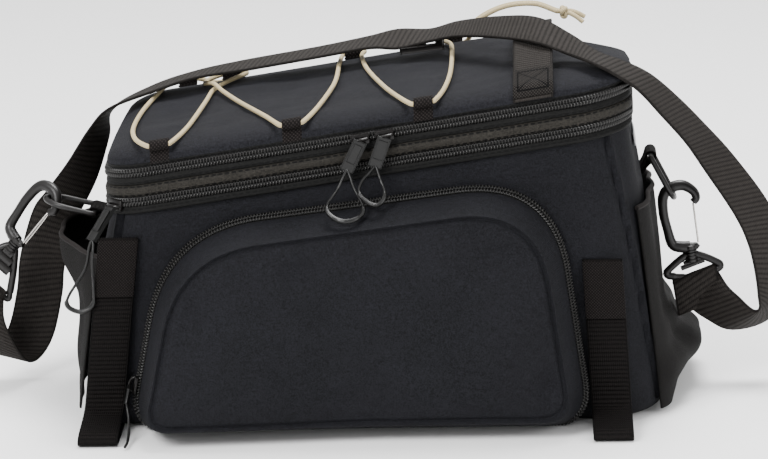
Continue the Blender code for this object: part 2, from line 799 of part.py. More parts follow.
def make_rings():
    for side, pose in END_POSES.items():
        name = pose["name"]
        run = Vector((side * pose["ring"][0], 0, pose["ring"][1])).normalized()
        bar = hook_point(side, *pose["caught"]) - run * RING_LENGTH
        tab_loop("ring_tab_" + name, end_anchor(side), bar, RING_RADIUS,
                 (0, -RING_TAB_WIDTH, 0), wall_normal(side), WEBBING, (WEB, 0.8))
        wide = Vector((0, 1, 0)) * RING_HALF_WIDTH
        points = [bar - wide * 0.92, bar + wide * 0.92]
        steps = 10
        for i in range(steps + 1):
            angle = math.radians(180 * i / steps)
            reach = (math.sin(angle) + min(1.0, math.sin(angle) * 3)) / 2
            points.append(bar + wide * math.cos(angle) + run * RING_LENGTH * reach)
        tube("d_ring_" + name, points, RING_RADIUS, (PLASTIC, 0.4), closed=True)


# Outline of a snap hook's body from its foot to its nose: shares of the hook's length,
# along it and across it
HOOK_BODY = (
    (0.150, 0.000), (0.165, -0.120), (0.220, -0.225), (0.420, -0.262), (0.640, -0.285),
    (0.860, -0.262), (0.965, -0.170), (0.990, 0.000), (0.900, 0.130), (0.800, 0.165), (0.745, 0.120),
)
GATE_FOOT = (0.205, 0.115)


def hook_frame(side):
    pose = END_POSES[side]
    stud = from_tab(side, *pose["stud"])
    along = -Vector((side * pose["hook"][0], 0, pose["hook"][1])).normalized()
    across = pose["across"]
    across = (across - along * across.dot(along)).normalized()
    return stud, along, across


def hook_point(side, s, r):
    """A place on a hook: shares of its length along it and across it."""
    stud, along, across = hook_frame(side)
    return stud + (along * s + across * r) * HOOK_LENGTH


def eye_down(side):
    """The way the eye hangs, and its slot."""
    slot = from_tab(side, *END_POSES[side]["slot"])
    return (slot - hook_point(side, 0.03, 0)).normalized(), slot


def make_hooks():
    for side, pose in END_POSES.items():
        name = pose["name"]
        along = hook_frame(side)[1]

        def at(s, r, side=side):
            return hook_point(side, s, r)

        body = as_mesh(tube("hook_" + name, smooth_path([at(*row) for row in HOOK_BODY], 2),
                            HOOK_RADIUS, (PLASTIC, 0.4)))
        knuckle = rod("knuckle_" + name, at(0.130, -0.08), at(0.145, 0.125), HOOK_RADIUS * 1.1,
                      (PLASTIC, 0.4), sides=8)
        collar = rod("collar_" + name, at(0.105, 0), at(0.180, 0), STUD_RADIUS, (PLASTIC, 0.4), 10)
        join_with(body, (knuckle, collar))
        foot = at(*GATE_FOOT)
        tip = foot + along * GATE_LENGTH
        tube("hook_gate_" + name, [foot, foot.lerp(tip, 0.5), tip], GATE_RADIUS, (STEEL, 0.3, 1.0))

        top = at(0.03, 0)
        down, slot = eye_down(side)
        wide = slot_direction(side)
        half = [top + wide * POST_RADIUS * 1.2, slot + wide * EYE_HALF_WIDTH * 0.95,
                slot + wide * EYE_HALF_WIDTH + down * 0.002,
                slot + wide * EYE_HALF_WIDTH * 0.9 + down * 0.0035]
        other = [top - wide * POST_RADIUS * 1.2, slot - wide * EYE_HALF_WIDTH * 0.95,
                 slot - wide * EYE_HALF_WIDTH + down * 0.002,
                 slot - wide * EYE_HALF_WIDTH * 0.9 + down * 0.0035]
        eye = as_mesh(tube("strap_eye_" + name, half + other[::-1], EYE_RADIUS, (PLASTIC, 0.4),
                           closed=True))
        post = rod("post_" + name, top, at(0.078, 0), POST_RADIUS, (PLASTIC, 0.4), 8)
        join_with(eye, (post,))


def slot_direction(side):
    if side > 0:
        return Vector((0.93, 0.0, 0.36)).normalized()
    return Vector((0.73, 0.0, -0.69)).normalized()


# The shoulder strap hanging at an end, from its eye up to the lid: places out, back and up
# from the sewn tab as shares of the hanging reach, and the strap's width direction
STRAP_RIGHT = (
    (0.350, 0.000, -0.751, -0.93, 0.00, -0.36),
    (0.43, -0.04, -0.84, -0.81, 0.25, -0.53),
    (0.52, -0.08, -0.91, -0.67, 0.43, -0.61),
    (0.64, -0.12, -0.98, -0.50, 0.63, -0.59),
    (0.77, -0.11, -0.95, 0.15, 0.83, -0.53),
    (0.83, -0.08, -0.85, 0.59, 0.75, -0.30),
    (0.84, -0.08, -0.68, 0.75, 0.66, 0.01),
    (0.79, -0.10, -0.45, 0.74, 0.67, 0.10),
    (0.69, -0.18, -0.215, 0.70, 0.69, 0.18),
    (0.49, -0.28, 0.095, 0.63, 0.76, 0.15),
    (0.34, -0.40, 0.31, 0.45, 0.87, 0.18),
    (0.17, -0.52, 0.52, 0.36, 0.91, 0.20),
    (0.01, -0.64, 0.70, 0.29, 0.95, 0.13),
)
STRAP_LEFT = (
    (0.05, 0.46, 0.56, -0.05, 0.95, -0.22),
    (0.13, 0.43, 0.41, 0.32, 0.88, -0.36),
    (0.25, 0.41, 0.16, 0.52, 0.65, -0.55),
    (0.39, 0.40, -0.056, 0.64, 0.42, -0.64),
    (0.45, 0.36, -0.15, 0.76, 0.16, -0.62),
    (0.49, 0.33, -0.28, 0.90, 0.00, -0.43),
    (0.53, 0.30, -0.446, 0.98, 0.06, -0.20),
    (0.55, 0.28, -0.623, 0.99, 0.06, -0.14),
    (0.61, 0.26, -0.868, 0.97, 0.06, -0.24),
    (0.69, 0.18, -1.005, 0.98, 0.06, -0.20),
    (0.76, 0.02, -0.973, 0.95, 0.07, -0.30),
    (0.83, -0.12, -0.78, 0.95, 0.03, -0.32),
    (0.87, -0.12, -0.62, 0.90, 0.00, -0.42),
    (0.866, 0.00, -0.50, 0.73, 0.00, -0.69),
)
# Over the lid: share of the half length, share of the half depth, lift above the lid's crown
# as a share of the crown, and the strap's width direction
STRAP_OVER = (
    (0.966, -0.728, -0.42, 0.20, 0.97, 0.08),
    (0.883, -0.717, 0.27, 0.10, 0.99, 0.05),
    (0.78, -0.52, 0.97, 0.01, 0.96, 0.26),
    (0.66, -0.39, 1.78, 0.01, 0.93, 0.37),
    (0.52, -0.13, 1.88, 0.00, 0.96, 0.28),
    (0.35, 0.26, 1.56, -0.02, 0.99, 0.14),
    (0.23, 0.48, 1.13, -0.02, 1.00, 0.07),
    (0.10, 0.52, 1.15, -0.03, 0.97, 0.23),
    (-0.02, 0.57, 1.15, -0.04, 1.00, 0.06),
    (-0.23, 0.61, 1.00, -0.05, 1.00, 0.02),
    (-0.53, 0.62, 0.92, -0.07, 1.00, 0.01),
    (-0.73, 0.62, 0.84, -0.09, 0.99, -0.06),
    (-0.90, 0.58, 0.50, -0.10, 0.98, -0.08),
)


def strap_rows():
    """Centre and width direction of the shoulder strap from its right end to its left end."""
    rows = []
    for out, back, up, *wide in STRAP_RIGHT:
        place = end_anchor(1) + Vector((out, back, up)) * HANG_REACH
        rows.append((place, Vector(wide).normalized()))
    for along, back, lift, *wide in STRAP_OVER:
        x = along * RIM_HALF_LENGTH
        top = lid_edge(x) + LID_CROWN * (1 + lift)
        rows.append((Vector((x, back * RIM_HALF_DEPTH, top)), Vector(wide).normalized()))
    for out, back, up, *wide in STRAP_LEFT:
        place = end_anchor(-1) + Vector((-out, back, up)) * HANG_REACH
        rows.append((place, Vector(wide).normalized()))
    return rows


def make_shoulder_strap():
    rows = strap_rows()
    centres = smooth_path([row[0] for row in rows], 2)
    widths = smooth_path([row[1] for row in rows], 2)

    def place(u, v):
        i = round(v * (len(centres) - 1))
        return centres[i] + widths[i].normalized() * (u - 0.5) * SHOULDER_WIDTH

    sheet("shoulder_strap", place, 1, len(centres) - 1, SHOULDER_CLOTH, (WEB, 0.8), offset=0.0)


def make_slider(name, middle, out, along):
    """A zip's slider: a block with a smaller one on top."""
    out = out.normalized()
    along = (along - out * along.dot(out)).normalized()
    wide = out.cross(along)
    shape = bmesh.new()
    bmesh.ops.create_cube(shape, size=1.0)
    top = max(shape.faces, key=lambda face: face.calc_center_median().z)
    bmesh.ops.inset_region(shape, faces=[top], thickness=0.22, use_even_offset=True)
    moved = bmesh.ops.extrude_face_region(shape, geom=[top])["geom"]
    bmesh.ops.delete(shape, geom=[top], context="FACES_ONLY")
    bmesh.ops.translate(shape, vec=(0, 0, 0.5),
                        verts=[part for part in moved if isinstance(part, bmesh.types.BMVert)])
    for vert in shape.verts:
        x, y, z = vert.co
        vert.co = (middle + along * x * SLIDER_LENGTH + wide * y * SLIDER_WIDTH
                   + out * z * SLIDER_HEIGHT)
    mesh = bpy.data.meshes.new(name)
    shape.to_mesh(mesh)
    shape.free()
    add_object(name, mesh, (BLACK, 0.5))


def make_pull(name, start, end, wide, loop, out, along, closed=True):
    """A tab from a slider, with a loop or a tail of cord from its end."""
    start = Vector(start)
    run = Vector(end) - start
    thick = run.cross(wide).normalized() * PULL_TAB_CLOTH
    shape = bmesh.new()
    bmesh.ops.create_cube(shape, size=1.0)
    for vert in shape.verts:
        x, y, z = vert.co
        vert.co = start + run * (x + 0.5) + wide * y * PULL_TAB_WIDTH + thick * z
    mesh = bpy.data.meshes.new(name)
    shape.to_mesh(mesh)
    shape.free()
    tab = add_object(name, mesh, (BLACK, 0.8))
    inside = start + run * 0.93
    points = [inside]
    for side, drop, reach in loop:
        points.append(inside + (along * side + Vector((0, 0, drop)) + out * reach) * PULL_REACH)
    cord = as_mesh(tube("cord_" + name, points, PULL_CORD_RADIUS, (BLACK, 0.8), closed=closed,
                        resolution=1))
    join_with(tab, (cord,))


# Loops of cord below the tabs: shares of the pulls' reach along the zip, up and out
LOOP_ONE = (
    (-0.07, -0.12, 0.06), (-0.22, -0.40, 0.23), (-0.40, -0.63, 0.40), (-0.38, -0.79, 0.57),
    (-0.15, -0.91, 0.73), (0.11, -0.91, 0.74), (0.30, -0.83, 0.60), (0.32, -0.67, 0.44),
    (0.15, -0.38, 0.22), (0.05, -0.14, 0.06),
)
LOOP_TWO = (
    (-0.08, -0.10, 0.06), (-0.27, -0.30, 0.18), (-0.33, -0.50, 0.32), (-0.17, -0.66, 0.46),
    (0.02, -0.73, 0.52), (0.16, -0.64, 0.46), (0.19, -0.48, 0.32), (0.09, -0.23, 0.15),
    (0.04, -0.10, 0.05),
)
LOOP_END = (
    (-0.07, -0.17, 0.04), (-0.17, -0.63, 0.12), (-0.52, -1.17, 0.20), (-0.55, -1.40, 0.22),
    (-0.28, -1.52, 0.22), (-0.03, -1.37, 0.22), (0.00, -1.03, 0.22), (-0.02, -0.50, 0.17),
    (0.01, -0.17, 0.08),
)
TAIL_POCKET = (
    (0.02, -0.15, 0.03), (0.06, -0.36, 0.20), (0.08, -0.56, 0.46), (0.08, -0.66, 0.80),
    (0.06, -0.67, 1.10),
)


def make_zip_pulls():
    front = Vector((0, -1, 0))
    slope = Vector((1, 0, RIM_SLOPE))
    # place along the zip, and the tab's lower end beside it, as shares of the pulls' reach
    for number, at, aside, loop in ((1, -0.10, -0.30, LOOP_ONE), (2, 0.40, -0.22, LOOP_TWO)):
        x = at * PULL_REACH
        z = rim_height(x) + band_top() - UPPER_ZIP_HEIGHT / 2
        middle = Vector((x, -(RIM_HALF_DEPTH + BOW + ZIP_BULGE + SEAM_GAP + SLIDER_HEIGHT * 0.5), z))
        make_slider("lid_slider_%d" % number, middle, front, slope)
        start = middle + front * SLIDER_HEIGHT * 1.4 + Vector((0, 0, -0.0010))
        end = start + Vector((aside, -0.02, -0.60)) * PULL_REACH
        wide = (end - start).cross(front).normalized()
        make_pull("lid_pull_%d" % number, start, end, wide, loop, front, Vector((1, 0, 0)))

    # the expander zip's slider, round the left front corner
    out = Vector((-1, -1, 0)).normalized()
    reach = LEFT_RADIUS + ZIP_BULGE + 3 * SEAM_GAP + SLIDER_HEIGHT / 2
    x = LEFT_RADIUS - RIM_HALF_LENGTH
    middle = Vector((x, LEFT_RADIUS - RIM_HALF_DEPTH, 0)) + out * reach
    middle.z = rim_height(middle.x) + LOWER_ZIP_HEIGHT / 2
    make_slider("expander_slider", middle, out, Vector((1, -1, 0)))
    start = middle + out * SLIDER_HEIGHT * 1.4 + Vector((0, 0, -0.0010))
    end = start + Vector((-0.42, -0.16, -0.66)) * PULL_REACH
    make_pull("expander_pull", start, end, Vector((1, -1, 0)).normalized(), LOOP_END, front,
              Vector((1, 0, 0)))

    for side, row in ((-1, "front"), (1, "back")):
        depth = POCKET_ZIP_WIDTH / 2 + SEAM_GAP
        place = pocket_point(side, POCKET_CORNER_STEPS, 0.0, depth)
        along = pocket_point(side, POCKET_CORNER_STEPS + 1, 0.0, depth) - place
        along = Vector((along.x, 0, along.z)).normalized()
        out = Vector((-along.z, 0, along.x))
        middle = place + along * SLIDER_LENGTH * 0.3
        middle += out * (SLIDER_HEIGHT / 2 + CLOTH + 2 * SEAM_GAP)
        make_slider(row + "_pocket_slider", middle, out, along)
        start = middle + out * SLIDER_HEIGHT * 1.4 + Vector((0, side * SLIDER_WIDTH * 0.9, 0))
        end = start + (Vector((0, side * 0.10, 0)) - along * 0.30) * PULL_REACH
        make_pull(row + "_pocket_pull", start, end, Vector((0, 1, 0)), TAIL_POCKET,
                  Vector((0, side, 0)), Vector((1, 0, 0)), closed=False)


def build():
    make_base()
    make_walls()
    make_bands()
    make_lid()
    make_pocket(-1, "front_pocket")
    make_pocket(1, "back_pocket")
    make_end_pockets()
    make_reflector()
    make_rack_straps()
    make_handle()
    make_cord_tabs()
    make_cord()
    make_rings()
    make_hooks()
    make_shoulder_strap()
    make_zip_pulls()


clear_scene()
bag = bpy.data.collections.new("rack_bag")
cutters = bpy.data.collections.new("cutters")
bpy.context.scene.collection.children.link(bag)
bpy.context.scene.collection.children.link(cutters)
build()
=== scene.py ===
import math

import bmesh
import bpy
from bpy.props import FloatProperty, IntProperty, PointerProperty
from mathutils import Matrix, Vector, noise


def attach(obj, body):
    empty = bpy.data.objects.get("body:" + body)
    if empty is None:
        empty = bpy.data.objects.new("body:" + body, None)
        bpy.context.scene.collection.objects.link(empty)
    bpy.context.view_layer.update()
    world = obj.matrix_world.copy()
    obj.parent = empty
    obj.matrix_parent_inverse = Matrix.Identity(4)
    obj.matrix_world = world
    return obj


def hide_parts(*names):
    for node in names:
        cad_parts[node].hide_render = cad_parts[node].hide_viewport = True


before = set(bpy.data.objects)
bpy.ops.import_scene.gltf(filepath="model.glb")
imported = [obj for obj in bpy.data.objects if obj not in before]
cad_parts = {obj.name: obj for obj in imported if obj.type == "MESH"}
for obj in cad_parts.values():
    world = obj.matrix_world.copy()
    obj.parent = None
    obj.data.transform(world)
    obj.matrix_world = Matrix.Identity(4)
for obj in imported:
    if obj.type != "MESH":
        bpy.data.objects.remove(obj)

bl_info = {
    "name": "Bicycle rack bag",
    "version": (1, 0, 0),
    "blender": (4, 5, 0),
    "location": "View3D > Sidebar > Rack bag",
    "description": "Builds the looks of a bicycle rack bag round its packed frame",
    "category": "Object",
}


def length(name, default, description):
    return FloatProperty(name=name, default=default, description=description, unit="LENGTH",
                         precision=4)


def share(name, default, description):
    return FloatProperty(name=name, default=default, description=description, precision=3)


def colour(name, default, description):
    from_zero = {"min": 0.0, "max": 1.0}
    return bpy.props.FloatVectorProperty(name=name, default=default, description=description,
                                         subtype="COLOR", size=3, **from_zero)


class BodySizes(bpy.types.PropertyGroup):
    base_half_length: length("Base half length", 0.182, "Half the base's length")
    rim_half_length: length("Rim half length", 0.1615, "Half the body's length at its rim")
    base_half_depth: length("Base half depth", 0.098, "Half the base's depth")
    rim_half_depth: length("Rim half depth", 0.092, "Half the body's depth at its rim")
    rim_height: length("Rim height", 0.160, "Height of the rim at the bag's middle")
    rim_slope: share("Rim slope", 0.1495, "Rise of the rim towards the tall end")
    left_radius: length("Left radius", 0.024, "Corner radius at the low end")
    right_radius: length("Right radius", 0.036, "Corner radius at the tall end")
    base_edge: length("Base edge", 0.012, "Rounding of the base's edge")
    bow: length("Bow", 0.002, "How far each side of the rim bows out")
    wall_bulge: length("Wall bulge", 0.003, "How far the walls bulge at half height")
    band_top: length("Band top", 0.030, "Height of the lid's lower edge above the rim")
    lid_shoulder: length("Lid shoulder", 0.055, "Width of the lid's rounded shoulder")
    lid_crown: length("Lid crown", 0.0115, "Height of the lid's top above its edge")
    corner_droop: length("Corner droop", 0.014, "How far the tall end's back corner droops")
    lid_droop: share("Lid droop", 0.45, "How much the lid sinks at its tall end")
    coil_width: length("Coil width", 0.0066, "Width of a zip's coil")
    coil_pitch: length("Coil pitch", 0.0019, "Distance from one tooth to the next")


class PocketSizes(bpy.types.PropertyGroup):
    pocket_depth: length("Pocket depth", 0.028, "How far a pocket stands out")
    pocket_sag: length("Pocket sag", 0.007, "How much further it stands out at its foot")
    pocket_slouch: length("Pocket slouch", 0.018, "How far its low left corner leans out")
    pocket_bottom: length("Pocket bottom", 0.003, "Height of its foot")
    pocket_zip: length("Pocket zip", 0.008, "Width of the zip round a pocket")
    end_reach: length("End pocket reach", 0.032, "How far an end pocket's cloth can stand out")
    cloth: length("Cloth", 0.002, "Thickness of the cloth")


class StrapSizes(bpy.types.PropertyGroup):
    webbing: length("Webbing", 0.0016, "Thickness of the webbing")
    rack_strap_width: length("Rack strap width", 0.025, "Width of a rack strap")
    handle_width: length("Handle width", 0.025, "Width of the carry handle")
    handle_lift: length("Handle lift", 0.016, "Height of the carry handle's arch")
    handle_place: share("Handle place", 0.64, "Place of the handle along the lid")
    shoulder_width: length("Shoulder strap width", 0.030, "Width of the shoulder strap")
    hang_reach: length("Hanging reach", 0.100, "Length that the hanging parts are shares of")
    cord_radius: length("Cord radius", 0.0015, "Radius of the elastic cord")
    cord_tab_width: length("Cord tab width", 0.012, "Width of the tabs that hold the cord")
    cord_tab_out: length("Cord tab reach", 0.0014, "How far the cord sits outside the lid's edge")
    knot_radius: length("Knot radius", 0.0045, "Radius of the knot")
    strand_gap: length("Strand gap", 0.0038, "Distance between the cord's two ends")


class HookSizes(bpy.types.PropertyGroup):
    ring_radius: length("Ring radius", 0.0018, "Radius of a D-ring's rod")
    ring_length: length("Ring length", 0.0325, "Length of a D-ring")
    ring_half_width: length("Ring half width", 0.013, "Half the width of a D-ring")
    ring_tab_width: length("Ring tab width", 0.020, "Width of the tab that holds a ring")
    hook_radius: length("Hook radius", 0.0022, "Radius of a snap hook's body")
    hook_length: length("Hook length", 0.049, "Length of a snap hook")
    gate_length: length("Gate length", 0.0255, "Length of a hook's wire gate")
    eye_radius: length("Eye radius", 0.0019, "Radius of the eye's frame")
    eye_half_width: length("Eye half width", 0.018, "Half the width of the eye")
    stud_radius: length("Stud radius", 0.0042, "Radius of the hook's collar")
    slider_length: length("Slider length", 0.011, "Length of a zip's slider")
    slider_width: length("Slider width", 0.007, "Width of a zip's slider")
    slider_height: length("Slider height", 0.0028, "Height of a zip's slider")
    pull_reach: length("Pull reach", 0.030, "Length that the pulls' parts are shares of")
    pull_tab_width: length("Pull tab width", 0.008, "Width of a pull's tab")
    pull_cord_radius: length("Pull cord radius", 0.0011, "Radius of a pull's cord")


class BagColours(bpy.types.PropertyGroup):
    navy: colour("Body cloth", (0.0055, 0.0056, 0.0071), "Colour of the body's cloth")
    olive: colour("Band cloth", (0.0150, 0.0136, 0.0115), "Colour of the band between the zips")
    tape: colour("Zip tape", (0.0044, 0.0044, 0.0042), "Colour of the zip tapes")
    coil: colour("Zip coil", (0.0050, 0.0048, 0.0046), "Colour of the zips' coils")
    web: colour("Webbing", (0.0026, 0.0021, 0.0020), "Colour of the webbing")
    strap: colour("Shoulder strap", (0.0125, 0.0110, 0.0100), "Colour of the shoulder strap")
    dark: colour("End pocket cloth", (0.0036, 0.0032, 0.0030), "Colour of the end pockets")
    cream: colour("Elastic cord", (0.42, 0.345, 0.20), "Colour of the elastic cord")
    plastic: colour("Plastic", (0.0058, 0.0050, 0.0048), "Colour of the hooks and rings")
    wire: colour("Wire", (0.56, 0.53, 0.50), "Colour of the wire gates")
    silver: colour("Reflective strip", (0.42, 0.43, 0.44), "Colour of the reflective strip")
    floor: colour("Floor", (0.88, 0.88, 0.88), "Colour of the floor")


class StudioSettings(bpy.types.PropertyGroup):
    camera_turn: FloatProperty(name="Camera turn", default=math.radians(2.5), subtype="ANGLE",
                               description="Angle of the camera round the bag")
    camera_rise: FloatProperty(name="Camera rise", default=math.radians(14.2), subtype="ANGLE",
                               description="Angle of the camera above the floor")
    camera_roll: FloatProperty(name="Camera roll", default=math.radians(1.4), subtype="ANGLE",
                               description="Roll of the camera")
    camera_away: length("Camera distance", 2.35, "Distance from the camera to the bag's front")
    lens: FloatProperty(name="Lens", default=178.1, description="Focal length in millimetres")
    aim: bpy.props.FloatVectorProperty(name="Aim", default=(0.010, -0.095, 0.126), size=3,
                                       subtype="XYZ", description="Place in the picture's middle")
    floor_size: length("Floor size", 12.0, "Side of the floor")
    key_power: FloatProperty(name="Key light", default=76.0, description="Power in watts")
    fill_power: FloatProperty(name="Fill light", default=24.0, description="Power in watts")
    top_power: FloatProperty(name="Top light", default=66.0, description="Power in watts")
    ripple_seed: IntProperty(name="Ripple seed", default=7, description="Place in the noise")


class RackBagSettings(bpy.types.PropertyGroup):
    body: PointerProperty(type=BodySizes, name="Body", description="Sizes of the body")
    pockets: PointerProperty(type=PocketSizes, name="Pockets", description="Sizes of the pockets")
    straps: PointerProperty(type=StrapSizes, name="Straps", description="Sizes of the straps")
    hooks: PointerProperty(type=HookSizes, name="Hooks", description="Sizes of the hooks")
    colours: PointerProperty(type=BagColours, name="Colours", description="The bag's colours")
    studio: PointerProperty(type=StudioSettings, name="Studio", description="Camera and light")


# Pocket corners seen from the front: share of the rim's half length, share of the rim's height,
# radius as a share of the rim's height
POCKET_CORNERS = (
    (-0.925, 0.019, 0.12),
    (-0.765, 0.895, 0.56),
    (0.7000, 0.890, 0.37),
    (0.835, 0.019, 0.14),
)
# A pocket's side: inset from its outline in metres times a hundred, share of its depth
POCKET_SIDE = ((0.0, 0.0), (0.10, 0.26), (0.36, 0.55), (0.62, 0.80), (0.80, 0.94), (0.95, 0.99),
               (1.6, 1.03), (3.6, 1.09), (6.6, 1.12))

END_POCKET_ROWS = {
    "right": ((-0.045, 0.12), (-0.010, 0.30), (0.020, 0.42), (0.055, 0.66), (0.090, 0.74),
              (0.120, 0.64), (0.160, 0.34), (0.220, 0.24), (0.275, 0.08), (0.360, 0.05),
              (0.500, 0.06), (0.620, 0.08), (0.700, 0.10)),
    "left": ((-0.040, 0.10), (0.060, 0.22), (0.200, 0.27), (0.340, 0.28), (0.440, 0.34),
             (0.520, 0.52), (0.610, 0.77), (0.700, 0.90), (0.755, 0.93)),
}
END_POCKET_SEAM = 0.17
END_POCKET_LEAN = {"right": -0.45, "left": 0.3}

RACK_STRAP_RUN = (
    (1.00, 0.0011), (0.80, 0.0015), (0.55, 0.0032), (0.30, 0.0042), (0.165, 0.0050),
    (0.115, 0.0110), (0.085, 0.0240), (0.066, 0.0360), (0.036, 0.0400), (0.012, 0.0370),
    (0.0085, 0.0290), (0.0085, 0.0120), (0.0120, 0.0000), (0.0180, -0.0035),
)
# Top height, and place at the top and the foot as shares of the half length
RACK_STRAPS = {"left": (0.123, -0.960, -1.045), "right": (0.106, 0.895, 0.930)}

CORD_TABS = {"front": (-0.79, -0.280, 0.222), "back": (-0.78, -0.60, -0.095, 0.315)}
TAB_RISE = 0.95

# The elastic cord's route: shares of the half length, of the half depth and of the crown above
# the lid, or a tab and the way through it
CORD_ROUTE = (
    (0.7368, 0.9348, 1.565), (0.6440, 0.9239, 1.870), (0.5201, 0.9239, 1.652),
    (0.4087, 0.9565, 1.043),
    ("back", 3, -1),
    (0.2477, 0.9130, 0.261), (0.2972, 0.6957, 0.243), (0.3158, 0.4348, 0.209),
    (0.3189, -0.3261, 0.191), (0.3003, -0.8043, 0.174),
    ("front", 2, -1),
    (0.1238, -0.8261, 0.174), (0.0619, -0.4565, 0.174), (-0.0186, 0.2174, 0.174),
    (-0.0557, 0.7609, 0.174),
    ("back", 2, -1),
    (-0.1424, 0.6087, 0.174), (-0.1424, -0.0543, 0.174), (-0.1858, -0.7391, 0.174),
    ("front", 1, -1),
    (-0.3963, -0.7500, 0.174), (-0.5139, -0.1957, 0.174), (-0.5975, 0.2174, 0.261),
    (-0.6471, 0.4348, 0.470), (-0.6935, 0.6739, 0.174), (-0.6873, 0.9239, 0.183),
    ("back", 1, 1),
    (-0.5325, 0.8696, 0.174), (-0.5882, 0.6522, 0.174), (-0.6440, 0.4130, 0.157),
    (-0.6594, 0.0000, 0.174), (-0.6935, -0.7174, 0.174),
    ("front", 0, -1),
    (-0.8916, -0.8261, 0.191), (-0.9226, -0.4348, 0.226), (-0.9164, 0.1087, 0.209),
    (-0.8793, 0.6522, 0.191), (-0.8669, 0.9348, 0.226),
    ("back", 0, 1),
)
CORD_RETURN = (
    (-0.6687, 0.5043, 0.5217), (-0.5820, 0.5739, 0.4000), (-0.3096, 0.5739, 0.3826),
    (0.0000, 0.5739, 0.3826), (0.2786, 0.5739, 0.4000), (0.3715, 0.5739, 0.5391),
)

END_POSES = {
    1: {"name": "right", "ring": (0.46, -0.89), "hook": (0.125, -0.99), "stud": (0.325, -0.595),
        "across": Vector((1.0, 0.0, 0.12)), "slot": (0.34, -0.69), "caught": (0.85, -0.12),
        "wide": Vector((0.93, 0.0, 0.36)), "height": 0.76},
    -1: {"name": "left", "ring": (0.97, 0.25), "hook": (0.64, -0.77), "stud": (0.69, -0.26),
         "across": Vector((0.631, -0.574, -0.524)), "slot": (0.83, -0.45),
         "caught": (0.85, -0.06), "wide": Vector((0.73, 0.0, -0.69)), "height": 0.87},
}
# A snap hook's body from its foot to its nose: shares of its length along and across it, and
# its thickness there as a share of its radius
HOOK_BODY = (
    (0.150, 0.000, 1.5), (0.165, -0.120, 1.5), (0.220, -0.225, 1.35), (0.420, -0.262, 1.20),
    (0.640, -0.285, 1.25), (0.860, -0.262, 1.35), (0.965, -0.170, 1.45), (0.990, 0.000, 1.40),
    (0.900, 0.130, 1.20), (0.800, 0.165, 1.05), (0.745, 0.120, 0.95),
)
GATE_FOOT = (0.205, 0.115)

# The shoulder strap at an end: places out, back and up from the sewn tab as shares of the
# hanging reach, and the strap's width direction
STRAP_RIGHT = (
    (0.350, 0.000, -0.751, -0.93, 0.00, -0.36),
    (0.43, -0.04, -0.84, -0.81, 0.25, -0.53),
    (0.52, -0.08, -0.91, -0.67, 0.43, -0.61),
    (0.64, -0.12, -0.98, -0.50, 0.63, -0.59),
    (0.77, -0.11, -0.95, 0.15, 0.83, -0.53),
    (0.83, -0.08, -0.85, 0.59, 0.75, -0.30),
    (0.84, -0.08, -0.68, 0.75, 0.66, 0.01),
    (0.79, -0.10, -0.45, 0.74, 0.67, 0.10),
    (0.69, -0.18, -0.215, 0.70, 0.69, 0.18),
    (0.49, -0.28, 0.095, 0.63, 0.76, 0.15),
    (0.34, -0.40, 0.31, 0.45, 0.87, 0.18),
    (0.17, -0.52, 0.52, 0.36, 0.91, 0.20),
    (0.01, -0.64, 0.70, 0.29, 0.95, 0.13),
)
STRAP_LEFT = (
    (0.05, 0.46, 0.56, -0.05, 0.95, -0.22),
    (0.13, 0.43, 0.41, 0.32, 0.88, -0.36),
    (0.25, 0.41, 0.16, 0.52, 0.65, -0.55),
    (0.39, 0.40, -0.056, 0.64, 0.42, -0.64),
    (0.45, 0.36, -0.15, 0.76, 0.16, -0.62),
    (0.49, 0.33, -0.28, 0.90, 0.00, -0.43),
    (0.53, 0.30, -0.446, 0.98, 0.06, -0.20),
    (0.55, 0.28, -0.623, 0.99, 0.06, -0.14),
    (0.61, 0.26, -0.868, 0.97, 0.06, -0.24),
    (0.69, 0.18, -1.005, 0.98, 0.06, -0.20),
    (0.76, 0.02, -0.973, 0.95, 0.07, -0.30),
    (0.83, -0.12, -0.78, 0.95, 0.03, -0.32),
    (0.87, -0.12, -0.62, 0.90, 0.00, -0.42),
    (0.866, 0.00, -0.50, 0.73, 0.00, -0.69),
)
# Over the lid: share of the half length, share of the half depth, lift above the crown as a
# share of the crown, and the strap's width direction
STRAP_OVER = (
    (0.966, -0.728, -0.42, 0.20, 0.97, 0.08),
    (0.883, -0.717, 0.27, 0.10, 0.99, 0.05),
    (0.78, -0.52, 0.97, 0.01, 0.96, 0.26),
    (0.66, -0.39, 1.78, 0.01, 0.93, 0.37),
    (0.52, -0.13, 1.88, 0.00, 0.96, 0.28),
    (0.35, 0.26, 1.56, -0.02, 0.99, 0.14),
    (0.23, 0.48, 1.13, -0.02, 1.00, 0.07),
    (0.10, 0.52, 1.15, -0.03, 0.97, 0.23),
    (-0.02, 0.57, 1.15, -0.04, 1.00, 0.06),
    (-0.23, 0.61, 1.00, -0.05, 1.00, 0.02),
    (-0.53, 0.62, 0.92, -0.07, 1.00, 0.01),
    (-0.73, 0.62, 0.84, -0.09, 0.99, -0.06),
    (-0.90, 0.58, 0.50, -0.10, 0.98, -0.08),
)

